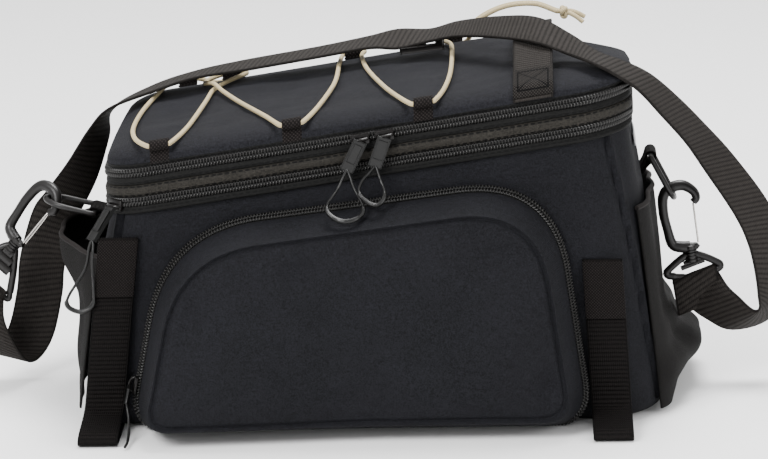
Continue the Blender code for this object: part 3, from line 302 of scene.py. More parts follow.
# Loops of cord below the pulls' tabs: shares of the pulls' reach along, up and out
LOOP_ONE = (
    (-0.07, -0.12, 0.06), (-0.22, -0.40, 0.23), (-0.40, -0.63, 0.40), (-0.38, -0.79, 0.57),
    (-0.15, -0.91, 0.73), (0.11, -0.91, 0.74), (0.30, -0.83, 0.60), (0.32, -0.67, 0.44),
    (0.15, -0.38, 0.22), (0.05, -0.14, 0.06),
)
LOOP_TWO = (
    (-0.08, -0.10, 0.06), (-0.27, -0.30, 0.18), (-0.33, -0.50, 0.32), (-0.17, -0.66, 0.46),
    (0.02, -0.73, 0.52), (0.16, -0.64, 0.46), (0.19, -0.48, 0.32), (0.09, -0.23, 0.15),
    (0.04, -0.10, 0.05),
)
LOOP_END = (
    (-0.07, -0.17, 0.04), (-0.17, -0.63, 0.12), (-0.52, -1.17, 0.20), (-0.55, -1.40, 0.22),
    (-0.28, -1.52, 0.22), (-0.03, -1.37, 0.22), (0.00, -1.03, 0.22), (-0.02, -0.50, 0.17),
    (0.01, -0.17, 0.08),
)
TAIL_POCKET = (
    (0.02, -0.15, 0.03), (0.06, -0.36, 0.20), (0.08, -0.56, 0.46), (0.08, -0.66, 0.80),
    (0.06, -0.67, 1.10),
)


def ease(a, b, value):
    t = min(max((value - a) / (b - a), 0.0), 1.0)
    return t * t * (3 - 2 * t)


def hump(value, middle, width):
    """A smooth bump of height one."""
    return math.exp(-((value - middle) / width) ** 2)


def read_table(rows, value):
    """The columns after the first, at a value of the first."""
    for low, high in zip(rows, rows[1:]):
        if value <= high[0] or high is rows[-1]:
            part = min(max((value - low[0]) / (high[0] - low[0]), 0.0), 1.0)
            return [a + (b - a) * part for a, b in zip(low[1:], high[1:])]


def curve_through(points, steps):
    """Rows of numbers on a smooth curve through the given rows."""
    points = [tuple(point) for point in points]
    first = tuple(2 * a - b for a, b in zip(points[0], points[1]))
    last = tuple(2 * a - b for a, b in zip(points[-1], points[-2]))
    padded = [first, *points, last]
    path = []
    for i in range(len(points) - 1):
        for step in range(steps):
            t = step / steps
            row = []
            for before, start, end, after in zip(*padded[i:i + 4]):
                row.append(0.5 * (2 * start + (end - before) * t
                                  + (2 * before - 5 * start + 4 * end - after) * t ** 2
                                  + (3 * start - before - 3 * end + after) * t ** 3))
            path.append(tuple(row))
    path.append(points[-1])
    return path


def even_path(points, step, closed=False):
    """Points along a path at an even distance."""
    points = [Vector(point) for point in points]
    if closed:
        points.append(points[0])
    total = sum((b - a).length for a, b in zip(points, points[1:]))
    count = max(4, round(total / step))
    found = []
    walked, i = 0.0, 0
    for k in range(count + (0 if closed else 1)):
        goal = total * k / count
        while i < len(points) - 2 and walked + (points[i + 1] - points[i]).length < goal:
            walked += (points[i + 1] - points[i]).length
            i += 1
        part = (goal - walked) / max((points[i + 1] - points[i]).length, 1e-9)
        found.append(points[i].lerp(points[i + 1], min(part, 1.0)))
    return found


class Bag:
    """The bag's shape, worked out from the sizes in the panel."""

    def __init__(self, context):
        settings = context.scene.rack_bag
        for group in (settings.body, settings.pockets, settings.straps, settings.hooks):
            for name in type(group).__annotations__:
                setattr(self, name, getattr(group, name))
        self.seed = settings.studio.ripple_seed
        self.colours = settings.colours
        left, right = self.left_radius, self.right_radius
        half, deep = self.rim_half_length, self.rim_half_depth
        runs = (half - left, left * math.pi / 2, 2 * (deep - left), left * math.pi / 2,
                2 * half - left - right, right * math.pi / 2, 2 * (deep - right),
                right * math.pi / 2, half - right)
        self.round_length = sum(runs)
        self.ends = []
        reached = 0.0
        for run in runs:
            reached += run / self.round_length
            self.ends.append(reached)

    def rim(self, x):
        return self.rim_height + self.rim_slope * x

    def halves(self, t):
        return (self.base_half_length + (self.rim_half_length - self.base_half_length) * t,
                self.base_half_depth + (self.rim_half_depth - self.base_half_depth) * t)

    def part_place(self, part, fraction):
        """Share of the way round at a fraction of one of the outline's nine parts."""
        start = self.ends[part - 1] if part else 0.0
        return start + (self.ends[part] - start) * fraction

    def outline(self, s, half, deep, inset=0.0):
        """A place on the outline and the way out there, round from the back's middle."""
        s = s % 1.0
        part = next((i for i, end in enumerate(self.ends) if s <= end), 8)
        start = self.ends[part - 1] if part else 0.0
        f = (s - start) / (self.ends[part] - start)
        left = max(self.left_radius - inset * 0.8, 0.002)
        right = max(self.right_radius - inset * 0.8, 0.002)
        if part % 2:
            radius, sx, sy = ((left, -1, 1), (left, -1, -1), (right, 1, -1), (right, 1, 1))[part // 2]
            angle = math.radians(90 * (part // 2 + 1 + f))
            way = (math.cos(angle), math.sin(angle))
            return (sx * (half - radius) + radius * way[0], sy * (deep - radius) + radius * way[1],
                    *way)
        corners = ((0.0, deep), (-(half - left), deep), (-half, deep - left), (-half, left - deep),
                   (left - half, -deep), (half - right, -deep), (half, right - deep),
                   (half, deep - right), (half - right, deep), (0.0, deep))
        a, b = corners[part], corners[part + 1]
        way = ((0, 1), (-1, 0), (0, -1), (1, 0), (0, 1))[part // 2]
        return (a[0] + (b[0] - a[0]) * f, a[1] + (b[1] - a[1]) * f, *way)

    def bowed(self, x, y, half, deep, t):
        bulge = self.bow + self.wall_bulge * max(0.0, math.sin(math.pi * min(max(t, 0.0), 1.0)))
        return (x + x / half * bulge * (1 - (y / deep) ** 2),
                y + y / deep * bulge * (1 - (x / half) ** 2))

    def wall(self, s, t, out=0.0):
        """A place on the body's wall."""
        half, deep = self.halves(t)
        x, y, nx, ny = self.outline(s, half, deep)
        x, y = self.bowed(x, y, half, deep, t)
        return Vector((x + nx * out, y + ny * out,
                       self.base_edge + t * (self.rim(x) - self.base_edge - self.sink(x, y))))

    def wall_y(self, x, z):
        t = (z - self.base_edge) / (self.rim(x) - self.base_edge)
        half, deep = self.halves(t)
        return self.bowed(x, deep, half, deep, t)[1]

    def end_x(self, z, side):
        t = (z - self.base_edge) / (self.rim(side * self.rim_half_length) - self.base_edge)
        half, deep = self.halves(t)
        return self.bowed(half, 0.0, half, deep, t)[0]

    def end_wall(self, side, u, t, out):
        """A place on an end wall, from its front seam to its back seam."""
        if side > 0:
            s = self.ends[4] + (self.ends[7] - self.ends[4]) * u
        else:
            s = self.ends[3] - (self.ends[3] - self.ends[0]) * u
        return self.wall(s, t, out)

    def ripple(self, point, scale, shift=0.0):
        """Smooth noise from -1 to 1."""
        return noise.noise(Vector(point) / scale + Vector((shift, self.seed, shift * 2)))

    def lid_edge(self, x):
        return self.rim(x) + self.band_top

    def lid_rise(self, inset):
        t = min(max(inset / self.lid_shoulder, 0.0), 1.0)
        return self.lid_crown * (1 - (1 - t) ** 3.5) ** (1 / 3.5)

    def sink(self, x, y):
        """How far the lid and its bands droop at the tall end's back corner."""
        return (self.corner_droop * ease(0.45, 1.0, x / self.rim_half_length)
                * ease(-0.5, 1.0, y / self.rim_half_depth))

    def lid_slump(self, x):
        return 1 - self.lid_droop * max(0.0, x / self.rim_half_length) ** 6

    def lid_surface(self, x, y):
        bow = self.bow * (1 - (x / self.rim_half_length) ** 2)
        inset = min(self.rim_half_length - abs(x), self.rim_half_depth + bow - abs(y))
        return (self.lid_edge(x) + self.lid_rise(inset) * self.lid_slump(x) - self.sink(x, y))

    def pocket_corners(self, inset):
        corners = []
        for along, up, radius in POCKET_CORNERS:
            x = along * self.rim_half_length
            z = self.pocket_bottom + (up - POCKET_CORNERS[0][1]) * self.rim(x)
            corners.append((x, z, radius * self.rim_height))
        moved = []
        for i, (x, z, radius) in enumerate(corners):
            here = Vector((x, z))
            ways = []
            for a, b in ((corners[i - 1], corners[i]), (corners[i], corners[(i + 1) % 4])):
                run = (Vector(b[:2]) - Vector(a[:2])).normalized()
                ways.append(Vector((run.y, -run.x)))
            here += (ways[0] + ways[1]) * inset / (1 + ways[0].dot(ways[1]))
            moved.append((here.x, here.y, max(radius - inset * 0.7, radius * 0.25)))
        return moved

    def pocket_ring(self, inset, steps):
        """Places round a pocket's outline at an inset, clockwise from its low left corner."""
        corners = self.pocket_corners(inset)
        ends = []
        for i, (x, z, radius) in enumerate(corners):
            here = Vector((x, z))
            before = (Vector(corners[i - 1][:2]) - here)
            after = (Vector(corners[(i + 1) % 4][:2]) - here)
            reach = radius / math.tan(before.angle(after) / 2)
            reach = min(reach, before.length * 0.46, after.length * 0.46)
            ends.append((here + before.normalized() * reach, here,
                         here + after.normalized() * reach))
        places = []
        for i, (start, here, stop) in enumerate(ends):
            for step in range(steps):
                t = step / steps
                places.append(start * (1 - t) ** 2 + here * 2 * t * (1 - t) + stop * t ** 2)
            following = ends[(i + 1) % 4][0]
            for step in range(steps):
                places.append(stop.lerp(following, step / steps))
        return places

    def anchor(self, side):
        height = END_POSES[side]["height"] * self.rim(side * self.rim_half_length)
        return Vector((side * self.end_x(height, side), 0.0, height))

    def from_tab(self, side, out, up):
        return self.anchor(side) + Vector((side * out, 0, up)) * self.hang_reach

    def hook_frame(self, side):
        pose = END_POSES[side]
        stud = self.from_tab(side, *pose["stud"])
        along = -Vector((side * pose["hook"][0], 0, pose["hook"][1])).normalized()
        across = (pose["across"] - along * pose["across"].dot(along)).normalized()
        return stud, along, across

    def hook_point(self, side, s, r):
        stud, along, across = self.hook_frame(side)
        return stud + (along * s + across * r) * self.hook_length

    def cord_anchor(self, row, index):
        share_along = CORD_TABS[row][index]
        side = -1 if row == "front" else 1
        y = self.rim_half_depth + self.bow * (1 - share_along ** 2) + self.cord_tab_out
        x = share_along * self.rim_half_length
        return Vector((x, side * y, self.lid_edge(x) + TAB_RISE * self.lid_crown))

    def cord_points(self):
        points = []
        for row in CORD_ROUTE:
            if isinstance(row[0], str):
                lead = Vector((1, 0, self.rim_slope)) * self.cord_tab_width * row[2]
                middle = self.cord_anchor(*row[:2])
                points += [middle + lead * part for part in (-0.6, -0.3, 0.3, 0.6)]
            else:
                x, y = row[0] * self.rim_half_length, row[1] * self.rim_half_depth
                lift = row[2] * self.lid_crown
                points.append(Vector((x, y, self.lid_surface(x, y) + lift)))
        for along, out, up in CORD_RETURN:
            x = along * self.rim_half_length
            edge = self.rim_half_depth + self.bow * (1 - along ** 2)
            rise = self.lid_edge(x) + up * self.lid_crown
            points.append(Vector((x, edge + out * self.lid_crown, rise)))
        for point in reversed(points[:4]):
            points.append(point + Vector((0.0, self.strand_gap, 0.0)))
        return points

    def strap_rows(self):
        rows = []
        for out, back, up, *wide in STRAP_RIGHT:
            place = self.anchor(1) + Vector((out, back, up)) * self.hang_reach
            rows.append((*place, *Vector(wide).normalized()))
        for along, back, lift, *wide in STRAP_OVER:
            x = along * self.rim_half_length
            place = (x, back * self.rim_half_depth, self.lid_edge(x) + self.lid_crown * (1 + lift))
            rows.append((*place, *Vector(wide).normalized()))
        for out, back, up, *wide in STRAP_LEFT:
            place = self.anchor(-1) + Vector((-out, back, up)) * self.hang_reach
            rows.append((*place, *Vector(wide).normalized()))
        return rows


class Sock:
    """A shader socket that can stand in sums."""

    def __init__(self, tree, socket):
        self.tree = tree
        self.socket = socket

    def node(self, kind, values=(), outlet=0, **options):
        """The output of any other node, fed with sockets and constants."""
        made = self.tree.nodes.new(kind)
        for name, value in options.items():
            setattr(made, name, value)
        for key, value in dict(values).items():
            if isinstance(value, Sock):
                self.tree.links.new(value.socket, made.inputs[key])
            else:
                made.inputs[key].default_value = value
        return Sock(self.tree, made.outputs[outlet])

    def math(self, operation, *values):
        return self.node("ShaderNodeMath", enumerate(values), operation=operation)

    def __add__(self, other):
        return self.math("ADD", self, other)

    def __sub__(self, other):
        return self.math("SUBTRACT", self, other)

    def __rsub__(self, other):
        return self.math("SUBTRACT", other, self)

    def __mul__(self, other):
        return self.math("MULTIPLY", self, other)

    def __truediv__(self, other):
        return self.math("DIVIDE", self, other)

    def __rtruediv__(self, other):
        return self.math("DIVIDE", other, self)

    def __pow__(self, other):
        return self.math("POWER", self, other)

    __radd__ = __add__
    __rmul__ = __mul__

    def sine(self):
        return self.math("SINE", self)

    def size(self):
        return self.math("ABSOLUTE", self)

    def fraction(self):
        return self.math("FRACT", self)

    def below(self, other):
        return self.math("LESS_THAN", self, other)

    def near(self, other, reach):
        """One where this is within reach of a value."""
        return (self - other).size().below(reach)


class Look:
    """A material of one piece, and the sockets that its patterns start from."""

    def __init__(self, name, base, rough, metal=0.0, coat=0.0, gloss=0.1):
        self.material = bpy.data.materials.new(name)
        self.material.use_nodes = True
        self.tree = self.material.node_tree
        self.shader = self.tree.nodes["Principled BSDF"]
        self.base = tuple(base)
        self.shader.inputs["Base Color"].default_value = (*self.base, 1.0)
        self.shader.inputs["Roughness"].default_value = rough
        self.shader.inputs["Metallic"].default_value = metal
        self.shader.inputs["Coat Weight"].default_value = coat
        self.shader.inputs["Specular IOR Level"].default_value = gloss
        self.start = Sock(self.tree, None)
        self.height = None

    def uv(self):
        """Distances along and across the cloth, in metres."""
        spot = self.start.node("ShaderNodeUVMap", uv_map="UVMap")
        return [self.start.node("ShaderNodeSeparateXYZ", {0: spot}, outlet) for outlet in (0, 1)]

    def cloud(self, scale, detail=3.0):
        """Noise from 0 to 1 over the object."""
        spot = self.start.node("ShaderNodeTexCoord", outlet="Object")
        return self.start.node("ShaderNodeTexNoise",
                               {"Vector": spot, "Scale": scale, "Detail": detail})

    def mix(self, part, first, second):
        return self.start.node("ShaderNodeMix", {0: part, 6: (*first, 1.0), 7: (*second, 1.0)}, 2,
                               data_type="RGBA")

    def tint(self, part, low, high):
        """Shade the base colour from low to high times itself."""
        made = self.mix(part, [c * low for c in self.base], [c * high for c in self.base])
        self.tree.links.new(made.socket, self.shader.inputs["Base Color"])

    def mark(self, part, tone):
        """Paint another colour over the base where part is one."""
        under = Sock(self.tree, self.shader.inputs["Base Color"].links[0].from_socket)
        made = self.start.node("ShaderNodeMix", {0: part, 6: under, 7: (*tone, 1.0)}, 2,
                               data_type="RGBA")
        self.tree.links.new(made.socket, self.shader.inputs["Base Color"])

    def rough(self, part):
        self.tree.links.new(part.socket, self.shader.inputs["Roughness"])

    def raise_by(self, part):
        """Add to the fine relief, in metres."""
        self.height = part if self.height is None else self.height + part

    def done(self, strength=1.0):
        if self.height is not None:
            bump = self.start.node("ShaderNodeBump", {"Strength": strength, "Distance": 1.0,
                                                      "Height": self.height})
            self.tree.links.new(bump.socket, self.shader.inputs["Normal"])
        return self.material


def woven(name, base, pitch, relief, rough=0.8, patch=0.5):
    """Plain woven cloth of mottled yarn: crossing threads and slow changes of shade."""
    look = Look(name, base, rough)
    u, v = look.uv()
    threads = (u * (math.tau / pitch)).sine() * (v * (math.tau / pitch)).sine()
    fleck = look.cloud(1100.0, 2.0)
    fuzz = look.cloud(420.0, 3.0)
    slow = look.cloud(26.0, 5.0)
    look.raise_by(threads * relief + fleck * (relief * 3) + fuzz * (relief * 5))
    look.tint(threads * 0.12 + (fleck - 0.5) * 2.2 + (fuzz - 0.5) * 0.7 + (slow - 0.5) * patch
              + 0.5, 0.35, 1.65)
    return look


def ribbed(name, base, pitch, relief, edge, slant=0.0):
    """Webbing: ribs across it, fine threads along them, and a plain edge on either side."""
    look = Look(name, base, 0.7, gloss=0.06)
    across, along = look.uv()
    rib = ((along + across * slant) * (math.pi / pitch)).sine().size()
    thread = (across * (math.tau / 0.0013)).sine()
    inner = across.size().below(edge)
    fuzz = look.cloud(500.0, 3.0)
    look.raise_by(rib * relief * inner + thread * (relief * 0.2))
    look.tint(rib * inner * 0.5 + thread * 0.10 + fuzz * 0.5, 0.2, 2.2)
    return look


def checked(name, base, pitch, relief):
    """Basket-weave webbing: a close pattern of raised light dots."""
    look = Look(name, base, 0.7, gloss=0.06)
    across, along = look.uv()
    first = ((along + across) * (math.pi / pitch)).sine().size()
    second = ((along - across) * (math.pi / pitch)).sine().size()
    dots = (first * second) ** 1.5
    look.raise_by(dots * relief)
    look.tint(dots + look.cloud(500.0, 3.0) * 0.3 - 0.1, 0.3, 5.5)
    return look


def moulded(name, base, rough=0.38):
    """Plastic with a faint grain."""
    look = Look(name, base, rough, gloss=0.3)
    grain = look.cloud(1400.0, 2.0)
    look.raise_by(grain * 0.00003)
    look.rough(grain * 0.2 + (rough - 0.1))
    return look


def grid(place, across, along, uv, closed=False, cap=False):
    """A sheet of quads bent by place(u, v), with its own distances as its UV map."""
    shape = bmesh.new()
    bmesh.ops.create_grid(shape, x_segments=across, y_segments=along, size=1.0)
    layer = shape.loops.layers.uv.new("UVMap")
    spots = {vert: ((vert.co.x + 1) / 2, (vert.co.y + 1) / 2) for vert in shape.verts}
    for vert, (u, v) in spots.items():
        vert.co = place(u, v)
    for face in shape.faces:
        for loop in face.loops:
            u, v = spots[loop.vert]
            loop[layer].uv = uv(u, v, loop.vert.co)
    if closed:
        rim = [vert for vert in shape.verts if vert.is_boundary]
        bmesh.ops.remove_doubles(shape, verts=rim, dist=1e-6)
    if cap:
        holes = [edge for edge in shape.edges if edge.is_boundary]
        bmesh.ops.holes_fill(shape, edges=holes, sides=0)
    return shape


def sized(wide, high):
    """A UV map that runs over a sheet of this size."""
    return lambda u, v, point: (u * wide, v * high)


SHARP = math.radians(40)


def add_piece(name, shape, material, slot, nodes=(), body="bag"):
    """Put a mesh in the scene as a piece of the bag."""
    mesh = bpy.data.meshes.new(name)
    bmesh.ops.recalc_face_normals(shape, faces=shape.faces)
    for edge in shape.edges:
        edge.smooth = len(edge.link_faces) != 2 or edge.calc_face_angle(0.0) < SHARP
    shape.to_mesh(mesh)
    shape.free()
    for face in mesh.polygons:
        face.use_smooth = True
    mesh.materials.append(material)
    piece = bpy.data.objects.new(name, mesh)
    bpy.context.scene.collection.objects.link(piece)
    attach(piece, body)
    if nodes:
        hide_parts(*nodes)
    return piece


def thicken(piece, cloth, offset=-1.0):
    wall = piece.modifiers.new("thickness", "SOLIDIFY")
    wall.thickness = cloth
    wall.offset = offset


def frames_along(points, closed=False):
    """The way along a path and two directions across it at each point, without twist."""
    count = len(points)
    ways = []
    for i in range(count):
        before = points[i - 1] if closed or i else points[0]
        after = points[(i + 1) % count] if closed or i < count - 1 else points[-1]
        ways.append((after - before).normalized())
    side = ways[0].orthogonal().normalized()
    frames = []
    for i, way in enumerate(ways):
        side = (side - way * side.dot(way)).normalized()
        frames.append([way, side, way.cross(side)])
    if closed:
        first, last = frames[0][1], frames[-1][1]
        last = (last - ways[0] * last.dot(ways[0])).normalized()
        slip = math.atan2(last.cross(first).dot(ways[0]), last.dot(first))
        for i, (way, one, two) in enumerate(frames):
            turn = slip * i / count
            frames[i] = [way, one * math.cos(turn) + two * math.sin(turn),
                         two * math.cos(turn) - one * math.sin(turn)]
    return frames


def pipe(points, radius, sides=10, closed=False, squash=1.0):
    """A rod or cord along points. The radius may be a list, one for each point."""
    points = [Vector(point) for point in points]
    frames = frames_along(points, closed)
    count = len(points)
    radii = radius if isinstance(radius, (list, tuple)) else [radius] * count
    steps = [0.0]
    for a, b in zip(points, [*points[1:], points[0]]):
        steps.append(steps[-1] + (b - a).length)
    rows = count if closed else count - 1

    def place(u, v):
        i = round(v * rows) % count
        angle = math.tau * u
        one, two = frames[i][1], frames[i][2]
        return points[i] + (one * math.cos(angle) + two * math.sin(angle) * squash) * radii[i]

    def uv(u, v, point):
        return u * math.tau * radii[0], steps[round(v * rows)]

    return grid(place, sides, rows, uv, closed=True, cap=not closed)


# Cross-section of webbing: shares of its width and of its thickness
WEB_SECTION = (
    (-0.500, 0.0), (-0.494, 0.36), (-0.478, 0.50), (-0.25, 0.50), (0.0, 0.50), (0.25, 0.50),
    (0.478, 0.50), (0.494, 0.36), (0.500, 0.0), (0.494, -0.36), (0.478, -0.50), (0.25, -0.50),
    (0.0, -0.50), (-0.25, -0.50), (-0.478, -0.50), (-0.494, -0.36),
)


def ribbon(rows, wide, thick):
    """Webbing along rows of (centre, width direction)."""
    centres = [row[0] for row in rows]
    count = len(centres)
    steps = [0.0]
    for a, b in zip(centres, centres[1:]):
        steps.append(steps[-1] + (b - a).length)
    ways = []
    for i in range(count):
        run = centres[min(i + 1, count - 1)] - centres[max(i - 1, 0)]
        side = rows[i][1].normalized()
        ways.append((side, run.cross(side).normalized()))
    sides = len(WEB_SECTION)

    def place(u, v):
        i = round(v * (count - 1))
        a, b = WEB_SECTION[round(u * sides) % sides]
        side, up = ways[i]
        return centres[i] + side * a * wide + up * b * thick

    def uv(u, v, point):
        a = WEB_SECTION[round(u * sides) % sides][0]
        return a * wide, steps[round(v * (count - 1))]

    return grid(place, sides, count - 1, uv, closed=True, cap=True)


def block(middle, along, wide, up, sizes, edge):
    """A box with bevelled edges, turned to three directions."""
    shape = bmesh.new()
    bmesh.ops.create_cube(shape, size=1.0)
    for vert in shape.verts:
        x, y, z = vert.co
        vert.co = middle + along * x * sizes[0] + wide * y * sizes[1] + up * z * sizes[2]
    bmesh.ops.bevel(shape, geom=shape.edges[:], offset=edge, segments=2, profile=0.5,
                    affect="EDGES", material=-1)
    shape.loops.layers.uv.new("UVMap")
    return shape


def joined(shapes):
    """One mesh from several, with their UV maps."""
    whole = shapes[0]
    for other in shapes[1:]:
        passing = bpy.data.meshes.new("passing")
        other.to_mesh(passing)
        other.free()
        whole.from_mesh(passing)
        bpy.data.meshes.remove(passing)
    return whole


def add_light(name, place, aim, size, power):
    lamp = bpy.data.lights.new(name, "AREA")
    lamp.shape = "DISK"
    lamp.size = size
    lamp.energy = power
    item = bpy.data.objects.new(name, lamp)
    item.location = place
    item.rotation_mode = "QUATERNION"
    item.rotation_quaternion = (Vector(aim) - Vector(place)).to_track_quat("-Z", "Y")
    bpy.context.scene.collection.objects.link(item)


class RACKBAG_OT_stage(bpy.types.Operator):
    """Add the floor, the lights and the camera"""
    bl_idname = "rack_bag.stage"
    bl_label = "Stage"

    def execute(self, context):
        studio = context.scene.rack_bag.studio
        shape = bmesh.new()
        bmesh.ops.create_grid(shape, x_segments=1, y_segments=1, size=studio.floor_size / 2)
        mesh = bpy.data.meshes.new("floor")
        shape.to_mesh(mesh)
        shape.free()
        look = Look("floor", context.scene.rack_bag.colours.floor, 0.9)
        mesh.materials.append(look.done())
        floor = bpy.data.objects.new("floor", mesh)
        context.scene.collection.objects.link(floor)

        world = bpy.data.worlds.new("studio")
        world.use_nodes = True
        back = world.node_tree.nodes["Background"]
        back.inputs["Color"].default_value = (1.0, 1.0, 1.0, 1.0)
        back.inputs["Strength"].default_value = 1.15
        context.scene.world = world
        aim = Vector(studio.aim)
        add_light("key", (-1.1, -1.5, 1.6), aim, 1.2, studio.key_power)
        add_light("fill", (1.7, -1.2, 0.7), aim, 1.4, studio.fill_power)
        add_light("top", (0.2, 0.5, 1.9), aim, 1.0, studio.top_power)

        turn, rise, roll = studio.camera_turn, studio.camera_rise, studio.camera_roll
        back_way = Vector((math.sin(turn) * math.cos(rise), -math.cos(turn) * math.cos(rise),
                           math.sin(rise)))
        right = Vector((math.cos(turn), math.sin(turn), 0.0))
        up = back_way.cross(right)
        side = right * math.cos(roll) - up * math.sin(roll)
        top = up * math.cos(roll) + right * math.sin(roll)
        lens = bpy.data.cameras.new("camera")
        lens.lens = studio.lens
        lens.sensor_width = 36.0
        lens.clip_end = 50.0
        camera = bpy.data.objects.new("camera", lens)
        matrix = camera.matrix_world.copy()
        for column, way in enumerate((side, top, back_way, aim + back_way * studio.camera_away)):
            for row in range(3):
                matrix[row][column] = way[row]
        camera.matrix_world = matrix
        context.scene.collection.objects.link(camera)
        context.scene.camera = camera
        return {"FINISHED"}


class RACKBAG_OT_body(bpy.types.Operator):
    """Build the body's lofted shell"""
    bl_idname = "rack_bag.body"
    bl_label = "Body"

    def execute(self, context):
        bag = Bag(context)
        around, rows = ((480, 76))
        turn_in = 0.09
        round_length = bag.round_length

        def seam_push(s, t):
            """The upright seams: a groove with the end panel's fold beside it."""
            push = 0.0
            for part, fraction, way in ((3, 0.56, -1), (5, 0.41 + 0.29 * (1 - t), 1),
                                        (1, 0.44, 1), (7, 0.59 - 0.29 * (1 - t), -1)):
                away = (s - bag.part_place(part, fraction)) * round_length * way
                push += 0.0017 * hump(away, 0.0030, 0.0022) - 0.0022 * hump(away, 0.0, 0.0013)
            return push

        def place(u, v):
            if v < turn_in:
                angle = math.radians(90) * v / turn_in
                inset = bag.base_edge * (1 - math.sin(angle))
                x, y, _, _ = bag.outline(u, bag.base_half_length - inset,
                                         bag.base_half_depth - inset)
                x, y = bag.bowed(x, y, bag.base_half_length, bag.base_half_depth, 0)
                return Vector((x, y, bag.base_edge * (1 - math.cos(angle)) + 0.0004))
            t = (v - turn_in) / (1 - turn_in)
            here = bag.wall(u, t)
            low = 1 - t
            soft = min(t * 6, 1.0) * min((1 - t) * 8 + 0.2, 1.0)
            push = 0.0016 * bag.ripple(here, 0.060) + 0.0008 * bag.ripple(here, 0.022, 3.0)
            # upright folds that gather towards the foot near the corners
            push += 0.0009 * low * math.sin(u * round_length / 0.016 + 3 * bag.ripple(here, 0.05))
            return bag.wall(u, t, push * soft + seam_push(u, t) - 0.0006)

        shape = grid(place, around, rows, sized(round_length, bag.rim_height), closed=True)
        holes = [edge for edge in shape.edges if edge.is_boundary
                 and max(vert.co.z for vert in edge.verts) < bag.base_edge]
        bmesh.ops.holes_fill(shape, edges=holes, sides=0)
        look = woven("body_cloth", bag.colours.navy, 0.0009, 0.00007)
        add_piece("body_shell", shape, look.done(), "body_cloth",
                  ("base_panel", "front_panel", "back_panel", "left_end_panel",
                   "right_end_panel"))
        return {"FINISHED"}


def coil_ring(point, ways, total, width, pitch, samples):
    """A coil's two rows of teeth along a closed line. point(s) gives a place, and ways(s) the
    way out of the cloth and the way across the coil. The UV map counts the teeth."""
    teeth = round(total / pitch)
    rows = 10

    def place(u, v):
        a = 2 * v - 1
        phase = 0.0 if a < 0 else math.pi
        tooth = 0.5 + 0.5 * math.cos(math.tau * (teeth * u + 0.22 * abs(a)) + phase)
        body = math.sqrt(max(0.0, 1 - a * a)) * (1 - 0.5 * hump(a, 0.0, 0.2))
        out, side = ways(u)
        return point(u) + out * body * (0.0010 + 0.0011 * tooth) + side * a * width / 2

    return grid(place, teeth * samples, rows, lambda u, v, spot: (u * teeth, v), closed=True)


def coil_look(name, base):
    """Shiny black teeth in two rows, with a painted glint on each tooth's crest and painted shade in
    the line between the rows.
    """
    look = Look(name, base, 0.3, gloss=0.22)
    count, share_across = look.uv()
    a = (share_across * 2 - 1).size()
    turn = count * math.tau + a * (0.22 * math.tau) - share_across.below(0.5) * math.pi
    painted_glint = look.start.math("MAXIMUM", (turn + math.pi * 1.5).sine(), 0.0)
    # painted highlight: each tooth's crest is tinted up to five times the coil's colour as a painted
    # glint, and the line between the rows is kept dark as painted shade
    look.tint(painted_glint * a.below(0.8) * (1 - a.below(0.12)), 0.3, 5.0)
    return look


class RACKBAG_OT_bands(bpy.types.Operator):
    """Build the two zips and the band between them"""
    bl_idname = "rack_bag.bands"
    bl_label = "Zip bands"

    def execute(self, context):
        bag = Bag(context)
        around = 480
        half, deep = bag.rim_half_length, bag.rim_half_depth

        def rim_place(s, height, out):
            x, y, nx, ny = bag.outline(s, half, deep)
            x, y = bag.bowed(x, y, half, deep, 1)
            return Vector((x + nx * out, y + ny * out, bag.rim(x) + height - bag.sink(x, y)))

        # name, CAD node, slot, heights and outward steps up the band, look
        bands = (
            ("expander_tape", "expander_zip", "zip_tape", bag.colours.tape,
             ((-0.0012, 0.0004), (-0.0004, 0.0017), (0.0012, 0.0018), (0.0030, 0.0012),
              (0.0042, 0.0008), (0.0094, 0.0008), (0.0100, -0.0004))),
            ("band_cloth", "lid_band", "band_cloth", bag.colours.olive,
             ((0.0096, -0.0004), (0.0100, 0.0010), (0.0112, 0.0020), (0.0138, 0.0024),
              (0.0162, 0.0019), (0.0170, 0.0010), (0.0173, -0.0006))),
            ("lid_tape", "lid_zip", "zip_tape", bag.colours.tape,
             ((0.0168, -0.0006), (0.0174, 0.0009), (0.0190, 0.0015), (0.0215, 0.0010),
              (0.0226, 0.0007), (0.0280, 0.0007), (0.0290, 0.0009), (0.0302, 0.0010),
              (0.0306, 0.0))),
        )
        for name, node, slot, base, profile in bands:
            rows = curve_through(profile, 3)

            def place(u, v, rows=rows):
                height, out = rows[round(v * (len(rows) - 1))]
                wave = 0.0006 * bag.ripple(rim_place(u, height, 0.0), 0.045, height * 90)
                return rim_place(u, height, out + wave)

            low, high = profile[0][0], profile[-1][0]

            def uv(u, v, point, rows=rows):
                return u * bag.round_length, rows[round(v * (len(rows) - 1))][0]

            look = woven(name, base, 0.0008, 0.00004, rough=0.7, patch=0.15)
            along, up = look.uv()
            dash = (along / 0.0042).fraction().below(0.66)
            stitch_lines = {"expander_tape": (0.0018,), "band_cloth": (0.0108, 0.0162),
                            "lid_tape": (0.0188, 0.0292)}[name]
            for line in stitch_lines:
                look.raise_by(up.near(line, 0.0005) * -0.0004)
                look.mark(up.near(line, 0.0005) * dash, (0.001, 0.001, 0.001))
            add_piece(name, grid(place, around, len(rows) - 1, uv, closed=True), look.done(),
                      slot, (node,))

        for name, height in (("expander_coil", 0.0068), ("lid_coil", 0.0252)):
            def point(s, height=height):
                return rim_place(s, height, 0.0007)

            def ways(s):
                _, _, nx, ny = bag.outline(s, half, deep)
                return Vector((nx, ny, 0)), Vector((0, 0, 1))

            shape = coil_ring(point, ways, bag.round_length, bag.coil_width, bag.coil_pitch,
                              6)
            look = coil_look(name, bag.colours.coil)
            add_piece(name, shape, look.done(), "zip_tape")
        return {"FINISHED"}


